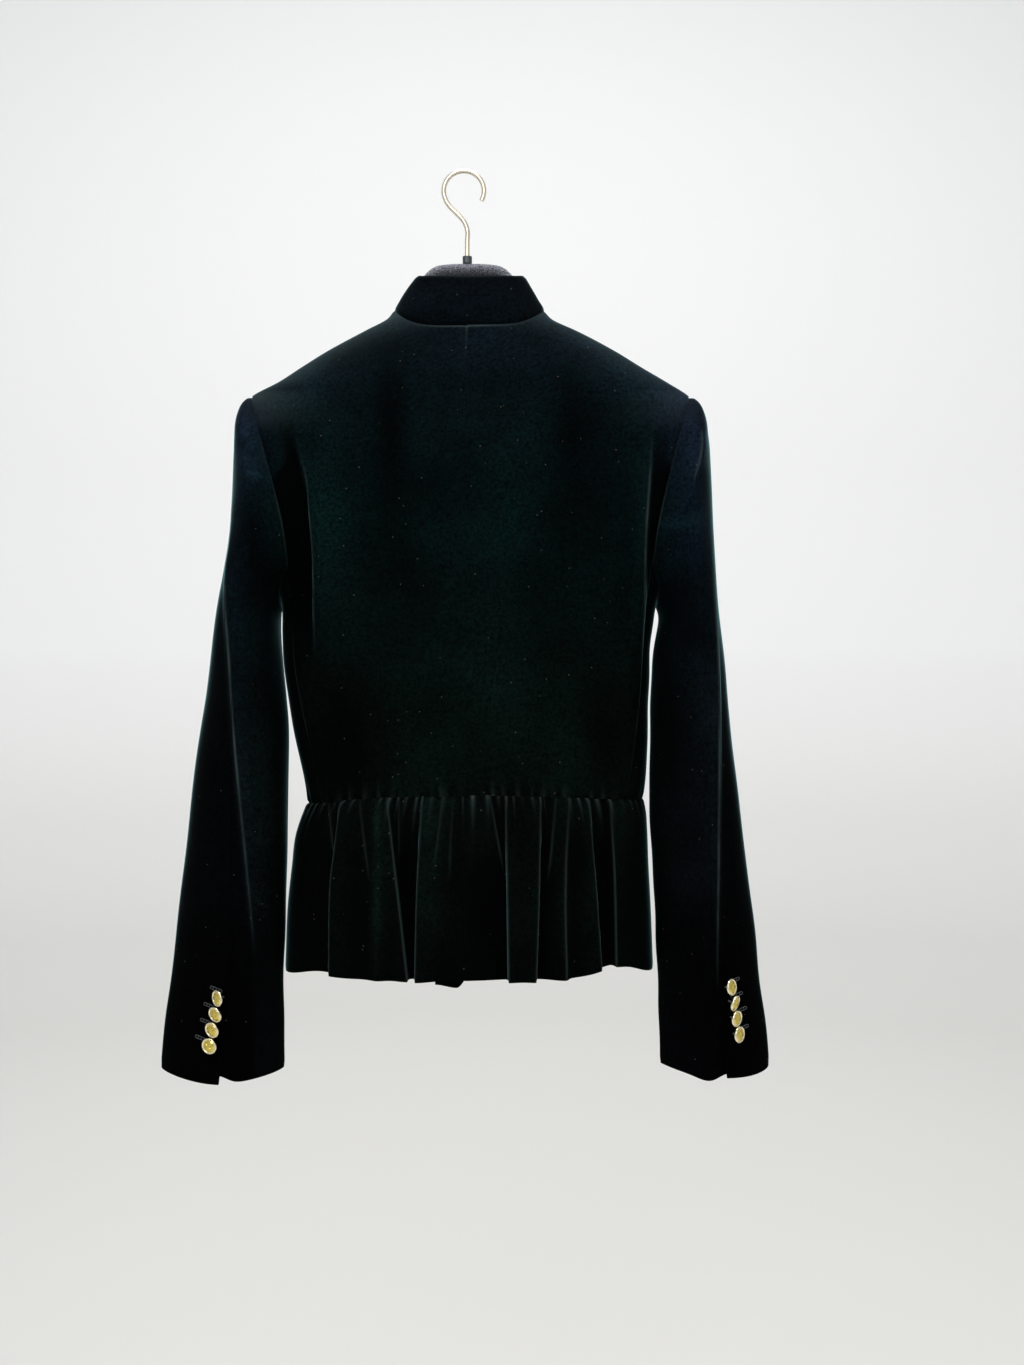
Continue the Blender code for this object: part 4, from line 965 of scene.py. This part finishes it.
# Pleats: face, x of the edge that shows at the waist, half way and at the hem, height, softness of the gentle
# slope and of the steep one, how far the crest leans to the right, and the share of the drop where it ends
PLEATS = (
    (BACK, -116, -107, -105, 3.5, 9, 3, 2, 0.45),
    (BACK, -104, -109.5, -110, 8, 15, 3, -4, 2),
    (BACK, -88.5, -79, -77, 3, 6, 2.5, 2, 0.5),
    (BACK, -74, -72, -72, 3.5, 8, 8, 0, 2),
    (BACK, -65.6, -55.5, -46.8, 7, 13, 3, 3.5, 2),
    (BACK, -54.7, -54.7, -54.7, 3, 7, 2.5, -2, 0.4),
    (BACK, -35.2, -39, -40.5, 8.5, 16, 3, -4, 2),
    (BACK, -18.2, -24, -26, 3, 6, 2.5, -2, 0.45),
    (BACK, -10.5, -13, -15, 2.2, 5, 4, 1, 0.5),
    (BACK, 19.3, 32, 34, 5, 11, 3, 3, 0.45),
    (BACK, 33, 34, 35, 8, 9, 3, -4, 2),
    (BACK, 61.3, 60, 57.7, 8, 9, 3, 4, 2),
    (BACK, 74.5, 67, 65, 4, 8, 2.5, -2.5, 0.5),
    (BACK, 85, 81, 82, 5, 11, 5, 2, 2),
    (BACK, 101.2, 105.8, 110.5, 7.5, 13, 3, 4, 2),
    (BACK, 120, 121.8, 123, 6, 12, 3, -3, 2),
    (FRONT, -118, -121, -124, 6.5, 13, 3, -4, 2),
    (FRONT, -96, -93, -92, 4, 8, 4, 2, 0.6),
    (FRONT, -76, -72, -70, 7, 13, 3, 4, 2),
    (FRONT, -46, -49, -51, 6, 12, 3, -3.5, 2),
    (FRONT, 50, 54, 57, 6, 12, 3, 3.5, 2),
    (FRONT, 82, 79, 77, 7, 12, 3, -4, 2),
    (FRONT, 98, 97, 95, 3.5, 8, 4, -2, 0.6),
    (FRONT, 114, 119, 123, 6.5, 13, 3, 4, 2),
)
# Patches of painted light and shade, as on the back
PEPLUM_PAINTED_LIGHT_AND_SHADE = (
    (-135, -610, 22, 90, -0.8), (-95, -615, 12, 60, -0.3), (-73, -628, 4.5, 45, 1.8),
    (-73.5, -560, 3.5, 14, 1.8), (-61, -640, 6, 45, -0.3), (-49, -600, 6, 60, -0.85),
    (-28, -556, 9, 22, 0.7), (-26, -612, 12, 34, 0.5), (-24, -668, 16, 16, -0.3),
    (12, -566, 9, 26, 0.5), (16, -640, 13, 42, -0.7), (47, -558, 11, 25, 0.5),
    (47, -664, 11, 25, -0.4), (65, -590, 4, 50, -0.75), (82, -625, 3, 40, 0.7),
    (93, -588, 8, 25, -0.6), (115, -595, 5, 70, -0.9), (131, -560, 8, 20, 0.9),
    (133, -640, 9, 30, -0.5),
)
# A pleat's share of its height at the waist, the share of the drop at which it is full and over which it
# ends, the roundness of its crest, the hollow beside it, its painted highlight line and how far it keeps off
# the middle
PLEAT_AT_WAIST = 0.35
PLEAT_FULL_AT = 0.5
PLEAT_FADE = 0.2
PLEAT_ROUND = 1.9
PLEAT_LEVEL = 0.3
PLEAT_SPREAD = 26.0
PLEAT_PAINTED_SHEEN = 0.06
PLEAT_LINE = (0.5, 0.9)
PLEATS_OFF_MIDDLE = {BACK: 4.0, FRONT: 24.0}
SLIDE_OFF_SEAMS = 12.0
SWELL_OFF_SEAMS = 4.0
SWELL_DROPS = (0.3, 5.0)
HEM_SWING = 0.2
ROWS_AT_WAIST = 1.5
OUTLINE_STEPS = 900
# Painted light and shade on the peplum: its level, how much lighter swollen cloth is painted, and how much
# lighter it is painted at the waist and darker at the hem
PEPLUM_PAINTED_SHADING = {"flat": 0.5, "swell": 0.1, "waist": 1.3, "hem": 0.35}
# Puckers at the waist seam: their spacing, and the heights and fades that occur
PUCKER_PITCH = (4.0, 13.0)
PUCKER_HEIGHTS = (0.6, 1.2, 1.8, 2.6)
PUCKER_FADES = (4.0, 5.0, 7.0, 11.0)
PUCKER_CREST = 1.6
# Painted highlight on the crests of the taller puckers: its strength, and the height from which it shows
PUCKER_PAINTED_SHEEN = 0.35
PUCKER_PAINTED_SHEEN_FROM = 0.7
PUCKER_COUNT = 60


def peplum_points(side, face, seed):
    """A fine grid over a quarter of the peplum, with its gathers, from waist to hem, and its painted light,
    shade and highlights.
    """
    rng = np.random.default_rng(seed)
    rows, painted_shadings, painted_sheens = [], [], []
    down, wide = PEPLUM_CELLS[face]
    for drop in PEPLUM_LENGTH * np.linspace(0.0, 1.0, down + 1) ** ROWS_AT_WAIST:
        share = drop / PEPLUM_LENGTH
        width = read(PEPLUM, PEPLUM_COLUMNS, SIDE_NAMES[side], drop)
        deep = read(PEPLUM, PEPLUM_COLUMNS, FACE_NAMES[face], drop)
        turn = np.linspace(0.0, np.pi / 2, OUTLINE_STEPS)
        x = width * np.sin(turn) ** (2 / ROUNDNESS)
        y = deep * np.cos(turn) ** (2 / ROUNDNESS)
        if face == FRONT:
            x = np.concatenate([[-LAP if side == RIGHT else -UNDERLAP], x])
            y = np.concatenate([[deep], y])
        run = np.concatenate([[0.0], np.cumsum(np.hypot(np.diff(x), np.diff(y)))])
        at = np.linspace(0.0, run[-1], wide + 1)
        if drop == 0.0:
            knots = np.concatenate([[0.0], np.cumsum(rng.uniform(*PUCKER_PITCH, PUCKER_COUNT))])
            knots = knots[:np.searchsorted(knots, run[-1])]
            wave = np.pi * np.interp(at, knots, np.arange(len(knots)), right=len(knots) - 1)
            pucker = np.interp(at, knots, rng.choice(PUCKER_HEIGHTS, len(knots)))
            fade = np.interp(at, knots, rng.choice(PUCKER_FADES, len(knots)))
        swell = pucker * np.exp(-drop / fade) * (PUCKER_CREST * np.abs(np.sin(wave)) - 1.0)
        slide = np.zeros_like(at)
        # Painted highlight on the crests of the taller puckers
        crests = np.abs(np.sin(wave)) ** 10 * np.clip(pucker - PUCKER_PAINTED_SHEEN_FROM, 0.0, 2.0)
        painted_sheen = PUCKER_PAINTED_SHEEN * np.exp(-drop / fade) * crests
        calm = smooth(0.0, PLEATS_OFF_MIDDLE[face], at)
        for pleat_face, waist_x, mid_x, hem_x, height, gentle, steep, lean, last in PLEATS:
            edge = side * float(through((0.0, 0.5, 1.0), (waist_x, mid_x, hem_x), share))
            if pleat_face == face and edge > 0:
                heading = side * (1.0 if lean >= 0 else -1.0)
                grown = PLEAT_AT_WAIST + (1.0 - PLEAT_AT_WAIST) * smooth(0.0, PLEAT_FULL_AT, share)
                grown = grown * (1.0 - smooth(last - PLEAT_FADE, last, share))
                off = (at - np.interp(edge, x, run)) * heading + abs(lean) * grown
                bump = np.exp(-np.abs(off / np.where(off < 0, gentle, steep)) ** PLEAT_ROUND)
                swell = swell + calm * height * grown * (bump - PLEAT_LEVEL * hump(off, PLEAT_SPREAD))
                slide = slide + calm * heading * abs(lean) * grown * bump
                # Painted highlight along the pleat's edge
                if lean:
                    line = hump(off - PLEAT_LINE[0], PLEAT_LINE[1])
                    painted_sheen = painted_sheen + calm * PLEAT_PAINTED_SHEEN * height * grown * line
        to_seam = np.minimum(at, run[-1] - at)
        swell = swell * smooth(*SWELL_DROPS, drop) * smooth(0.0, SWELL_OFF_SEAMS, to_seam)
        swell = swell - WAIST_INSET * hump(drop, WAIST_INSET_DEEP)
        moved = np.clip(at + slide * smooth(0.0, SLIDE_OFF_SEAMS, to_seam), 0.0, run[-1])
        px, py = np.interp(moved, run, x), np.interp(moved, run, y)
        nx, ny = np.interp(moved, run, -np.gradient(y, run)), np.interp(moved, run, np.gradient(x, run))
        size = np.hypot(nx, ny)
        px, py = px + swell * nx / size, py + swell * ny / size
        if face == FRONT and side == RIGHT:
            py = py + LAP_LIFT * (1.0 - smooth(LAP_FLAT, LAP_END, px))
        if face == BACK:
            px[0] = -SEAM_OVERLAP
        ratio = px / px[-1]
        outwards = np.clip(ratio, 0.0, 1.0) ** NECK_SWEEP
        waist = waist_z(side, face, ratio) + WAIST_TUCK
        hem = HEM_Z[face] + (HEM_SIDE_Z - HEM_Z[face]) * outwards - HEM_SWING * swell
        if face == BACK:
            hem = hem + HEM_LIFT[side] * hump(ratio - HEM_LIFT_AT, HEM_LIFT_WIDTH)
        elif side == RIGHT:
            hem = hem - LAP_CORNER_DROP * smooth(LAP_CORNER_FROM, LAP_CORNER_TO, px)
            hem = hem + LAP_CORNER_RISE * smooth(LAP_CORNER_TO, -LAP, px)
        rows.append(np.stack([side * px, face * py, waist + (hem - waist) * share], axis=1))
        # Painted light and shade: lighter on swollen cloth and at the waist, darker in hollows and towards
        # the hem
        painted_shading = PEPLUM_PAINTED_SHADING["flat"] + PEPLUM_PAINTED_SHADING["swell"] * swell
        painted_shadings.append(painted_shading * (PEPLUM_PAINTED_SHADING["waist"] - PEPLUM_PAINTED_SHADING["hem"] * share))
        painted_sheens.append(painted_sheen)
    return np.array(rows), np.array(painted_shadings), np.array(painted_sheens)


for side in (LEFT, RIGHT):
    for face in (BACK, FRONT):
        points, painted_shading, painted_sheen = peplum_points(side, face, 7 + side + 3 * face)
        # Patches of painted light and shade over the peplum
        painted_shading = paint_light_and_shade(painted_shading, points[..., 0], points[..., 2], PEPLUM_PAINTED_LIGHT_AND_SHADE)
        from_middle, from_side = reach(points, 1)
        from_hem = reach(points, 0)[1]
        lift = seam_dip(from_side, 0.7) + seam_dip(from_hem, 0.5, 2.0)
        if face == BACK:
            lift = lift + seam_dip(from_middle, 0.7)
        points = points + outward(points, 0.0) * lift[..., None]
        word = f"{FACE_NAMES[face]}_{SIDE_NAMES[side]}"
        shell(f"velvet_peplum_{word}", points, painted_shading, painted_sheen, 0.0, PEPLUM_WALL, f"peplum_{word}",
              raw_edge=False)

# Cuff buttons: four domed gilt metal buttons on each sleeve, sewn on by a thread shank beside the vent.
# Each has a roped rim and a plain raised rosette.
BUTTONS = {
    LEFT: ((-210.7, -711), (-213.2, -725), (-216.4, -738.6), (-219.4, -752.8)),
    RIGHT: ((222.5, -701.6), (225.5, -715.2), (227.5, -728.8), (230, -742.8)),
}
# How each one hangs on its shank: the lean of its long axis and how far it has turned, in degrees
BUTTON_TURNED = {
    LEFT: ((4, 42), (30, 34), (30, 28), (30, 18)),
    RIGHT: ((10, 42), (-22, 50), (-8, 40), (0, 40)),
}
# Half outline from the middle of the dome over the rim to the end of the shank: radius and height
BUTTON_PROFILE = np.array([
    (0, 3.75), (1.2, 3.7), (2.6, 3.45), (4, 2.95), (5, 2.35), (5.45, 1.95), (5.7, 1.95), (5.95, 2.25),
    (6.35, 2.5), (6.8, 2.35), (7.05, 1.9), (7.1, 1.4), (6.9, 0.8), (6.3, 0.3), (4, 0.05), (1.8, 0),
    (0.9, -1.2), (0.8, -3.2), (0.7, -5), (0, -5),
])
BUTTON_ROUND = 96
BUTTON_STEPS = 58
SHANK_STEP = 45
BUTTON_LIFT = 1.0
BUTTON_STAND_OFF = 4.6
# Roped rim and rosette: radius, half width and height, then the twists with their slant and the petals
ROPE = (6.45, 0.45, 0.22)
ROPE_TWISTS = 28
ROPE_SLANT = 9
ROSETTE = (2.6, 1.1, 0.3)
PETALS = 8
RIM_GOLD_FROM = (4.6, 5.9)
TARNISH = 2.5
THREAD_TWIST = 0.5
# Gilt metal: stamped brass with a thin plating, bright yellow on the rosette, paler on the polished rim,
# with patches where it is a little dulled.
gilt, tree, shader = surface("gilt_button_metal", Metallic=1.0)
place = add(tree, "ShaderNodeTexCoord").outputs["Object"]
spread = add(tree, "ShaderNodeVectorMath", {0: place, 1: (1.0, 1.0, 0.0)}, operation="MULTIPLY")
radial = add(tree, "ShaderNodeVectorMath", {0: spread.outputs["Vector"]}, operation="LENGTH")
ringed = add(tree, "ShaderNodeMapRange", {"Value": radial.outputs["Value"], "From Min": RIM_GOLD_FROM[0] * MM,
                                          "From Max": RIM_GOLD_FROM[1] * MM})
gold = add(tree, "ShaderNodeMix", {"Factor": ringed.outputs["Result"], 6: linear("#dfc864"),
                                   7: linear("#fff4cf")}, data_type="RGBA")
tarnish = add(tree, "ShaderNodeTexNoise", {"Vector": place, "Scale": 1 / (TARNISH * MM), "Detail": 4.0})
rough = add(tree, "ShaderNodeMapRange", {"Value": tarnish.outputs["Fac"], "From Min": 0.3, "From Max": 0.7,
                                         "To Min": 0.14, "To Max": 0.34})
tree.links.new(gold.outputs[2], shader.inputs["Base Color"])
tree.links.new(rough.outputs["Result"], shader.inputs["Roughness"])
# Sewing thread: twisted strands, dark grey with lighter flecks, which are drawn coarser than the real twist.
thread, tree, shader = surface("dark_sewing_thread", Roughness=0.7, Specular_IOR_Level=0.3)
place = add(tree, "ShaderNodeTexCoord").outputs["Object"]
twist = add(tree, "ShaderNodeTexNoise", {"Vector": place, "Scale": 1 / (THREAD_TWIST * MM), "Detail": 2.0})
strand = add(tree, "ShaderNodeMix", {"Factor": twist.outputs["Fac"], 6: linear("#1f2122"),
                                     7: linear("#606366")}, data_type="RGBA")
tree.links.new(strand.outputs[2], shader.inputs["Base Color"])
count = np.linspace(0, len(BUTTON_PROFILE) - 1, BUTTON_STEPS)
rows = np.arange(len(BUTTON_PROFILE))
radius, height = (through(rows, column, count)[:, None] for column in BUTTON_PROFILE.T)
turn = np.linspace(0.0, 2 * np.pi, BUTTON_ROUND, endpoint=False)
rope = ROPE[2] * hump(radius - ROPE[0], ROPE[1]) * (height > 1.5)
petal = ROSETTE[2] * hump(radius - ROSETTE[0], ROSETTE[1]) * (height > 2.5)
tall = height + rope * np.sin(ROPE_TWISTS * turn + ROPE_SLANT * radius) + petal * np.cos(PETALS * turn)
spots = np.stack([radius * np.cos(turn), radius * np.sin(turn), tall], axis=2).reshape(-1, 3) * MM
index = np.arange(len(radius) * BUTTON_ROUND).reshape(len(radius), BUTTON_ROUND)
after = np.roll(index, -1, axis=1)
quads = np.stack([index[:-1], index[1:], after[1:], after[:-1]], axis=2).reshape(-1, 4)
on_shank = np.repeat(np.arange(BUTTON_STEPS - 1) >= SHANK_STEP, BUTTON_ROUND).astype(np.int32)
for side, places in BUTTONS.items():
    for number, ((x, level), (slant, turned)) in enumerate(zip(places, BUTTON_TURNED[side]), start=1):
        outer, inner, deep, lean = map(float, sleeve_sizes(side, level))
        half = (outer - inner) / 2
        angle = math.atan2(lean, half) + math.acos((side * x - (outer + inner) / 2) / math.hypot(half, lean))
        away = lean * math.cos(angle) - half * math.sin(angle)
        out = Vector((side * deep * math.cos(angle), away, 0.0)).normalized()
        slant, turned = math.radians(slant), math.radians(turned)
        long_axis = Vector((-math.sin(slant), 0.0, math.cos(slant)))
        name = f"gilt_button_{SIDE_NAMES[side]}_{number}"
        mesh = bpy.data.meshes.new(name)
        mesh.from_pydata(spots.tolist(), [], quads.tolist())
        mesh.shade_smooth()
        mesh.materials.append(gilt)
        mesh.materials.append(thread)
        mesh.polygons.foreach_set("material_index", on_shank)
        made = placed(name, mesh)
        made.rotation_mode = "QUATERNION"
        hung = Quaternion(long_axis, side * turned)
        made.rotation_quaternion = hung @ Vector((0.0, 0.0, 1.0)).rotation_difference(out)
        seat = Vector(((x + JACKET_X) * MM, -deep * math.sin(angle) * MM, level * MM))
        made.location = seat + out * (BUTTON_LIFT + BUTTON_STAND_OFF * math.sin(turned)) * MM
        bpy.context.view_layer.update()
        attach(made, "root")
        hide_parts(f"cuff_button_{SIDE_NAMES[side]}_{number}")

# Buttonholes: four short mock buttonholes on each sleeve beside the buttons, worked in dark thread
# as close stitches round a slit. They lie on the velvet.
BUTTONHOLES = {
    LEFT: ((-214, -704.2), (-219.9, -718.8), (-223.3, -732.8), (-228, -747.4)),
    RIGHT: ((226.9, -697), (229.7, -709.6), (233.6, -722.6), (235.2, -738.2)),
}
HOLE_HALF_LENGTH = 5.3
HOLE_HALF_WIDTH = 1.2
HOLE_SQUARE = 0.35
HOLE_TILT = math.radians(20.0)
OUTLINE_POINTS = 136
RUNGS = (-2.6, 0.0, 2.6)
THREAD_RADIUS = 0.27
STITCH_SWELL = 0.35
STITCH_EVERY = 4
RAY_LENGTH = 200.0
THREAD_OFF = 0.1


def laid(pieces, x, z):
    """The point of the sleeve's back side at a place."""
    start = Vector((x, -RAY_LENGTH, z)) * MM
    hits = [piece.ray_cast(start, Vector((0.0, 1.0, 0.0)), distance=RAY_LENGTH * MM) for piece in pieces]
    return start.x, min(hit[1].y for hit in hits if hit[0]) - THREAD_OFF * MM, start.z, 1.0


bpy.context.view_layer.update()
around = np.linspace(0.0, 2 * np.pi, OUTLINE_POINTS, endpoint=False)
outline_u = HOLE_HALF_LENGTH * np.sign(np.cos(around)) * np.abs(np.cos(around)) ** HOLE_SQUARE
outline_v = HOLE_HALF_WIDTH * np.sign(np.sin(around)) * np.abs(np.sin(around)) ** HOLE_SQUARE
runs = [np.stack([outline_u, outline_v], axis=1)]
runs += [np.array([(u, -HOLE_HALF_WIDTH), (u, 0.0), (u, HOLE_HALF_WIDTH)]) for u in RUNGS]
for side, places in BUTTONHOLES.items():
    sleeve = [bpy.data.objects[f"velvet_sleeve_{SIDE_NAMES[side]}_{half}"] for half in ("top", "under")]
    for number, (x, level) in enumerate(places, start=1):
        line = bpy.data.curves.new("buttonhole", "CURVE")
        line.dimensions = "3D"
        line.bevel_depth = THREAD_RADIUS * MM
        line.bevel_resolution = 2
        for run in runs:
            spline = line.splines.new("POLY")
            spline.points.add(len(run) - 1)
            spline.use_cyclic_u = len(run) == OUTLINE_POINTS
            along = run[:, 0] * math.cos(HOLE_TILT) - side * run[:, 1] * math.sin(HOLE_TILT)
            up = run[:, 1] * math.cos(HOLE_TILT) + side * run[:, 0] * math.sin(HOLE_TILT)
            for step, spot in enumerate(spline.points):
                spot.co = laid(sleeve, x + JACKET_X + along[step], level + up[step])
                spot.radius = 1.0 + STITCH_SWELL * (step % STITCH_EVERY == 0)
        line.materials.append(thread)
        made = placed(f"buttonhole_{SIDE_NAMES[side]}_{number}", line)
        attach(made, "root")

# Studio: a pale floor that turns up into a round pale wall, far enough away for a look from any side,
# with a large soft light overhead, another one on the wall behind and a weak one from the front.
FLOOR_Z = -1.5
WALL_TONE_RISE = 1.2
STUDIO_SIDES = 96
# Matt paint: an even pale grey, a little darker on the floor.
pale, tree, shader = surface("pale_studio_paint", Roughness=0.9, Specular_IOR_Level=0.1)
place = add(tree, "ShaderNodeTexCoord").outputs["Object"]
level = add(tree, "ShaderNodeSeparateXYZ", {"Vector": place})
climb = add(tree, "ShaderNodeMapRange", {"Value": level.outputs["Z"], "From Min": FLOOR_Z,
                                         "From Max": FLOOR_Z + WALL_TONE_RISE})
tone = add(tree, "ShaderNodeMix", {"Factor": climb.outputs["Result"], 6: linear("#cfcecb"),
                                   7: linear("#ececec")}, data_type="RGBA")
tree.links.new(tone.outputs[2], shader.inputs["Base Color"])
rings = [(radius, FLOOR_Z + rise) for radius, rise in (
    (0.0, 0.0), (2.0, 0.0), (3.6, 0.0), (4.4, 0.12), (5.0, 0.5), (5.4, 1.1), (5.55, 2.0), (5.6, 4.5))]
turn = np.linspace(0.0, 2 * np.pi, STUDIO_SIDES, endpoint=False)
spots = [(r * math.cos(t), r * math.sin(t), z) for r, z in rings for t in turn]
index = np.arange(len(spots)).reshape(len(rings), STUDIO_SIDES)
after = np.roll(index, -1, axis=1)
quads = np.stack([index[:-1], after[:-1], after[1:], index[1:]], axis=2).reshape(-1, 4).tolist()
mesh = bpy.data.meshes.new("studio")
mesh.from_pydata(spots, [], quads)
mesh.shade_smooth()
mesh.materials.append(pale)
studio = placed("studio", mesh)

world = bpy.data.worlds.new("soft_studio_light")
world.use_nodes = True
world.node_tree.nodes["Background"].inputs["Color"].default_value = linear("#f4f6f8")
world.node_tree.nodes["Background"].inputs["Strength"].default_value = 0.55
bpy.context.scene.world = world
bpy.context.scene.view_settings.view_transform = "Standard"
for name, spot, aim, size, power in (
    ("ceiling_light", (0.1, -0.3, 2.2), (0.0, 0.0, -0.3), 1.6, 85.0),
    ("back_wall_light", (0.0, 2.2, 2.6), (0.0, 5.5, -0.4), 2.4, 74.0),
    ("front_light", (-0.3, -2.8, 0.9), (0.0, 0.0, -0.45), 1.8, 26.0),
):
    lamp = bpy.data.lights.new(name, "AREA")
    lamp.shape = "DISK"
    lamp.size = size
    lamp.energy = power
    holder = placed(name, lamp)
    holder.location = spot
    holder.rotation_euler = (Vector(aim) - Vector(spot)).to_track_quat("-Z", "Y").to_euler()

# Camera: level with the jacket's middle and a little to its right, looking straight at its back.
CAMERA_AT = (38.0 + JACKET_X, -1314.0, -443.0)
SENSOR = 36.0
FOCAL_PIXELS = 1510
FRAME_PIXELS = 1365
camera = bpy.data.cameras.new("camera")
camera.lens = SENSOR * FOCAL_PIXELS / FRAME_PIXELS
camera.clip_start = 0.05
view = placed("camera", camera)
view.location = Vector(CAMERA_AT) * MM
view.rotation_euler = (math.pi / 2, 0.0, 0.0)
bpy.context.scene.camera = view
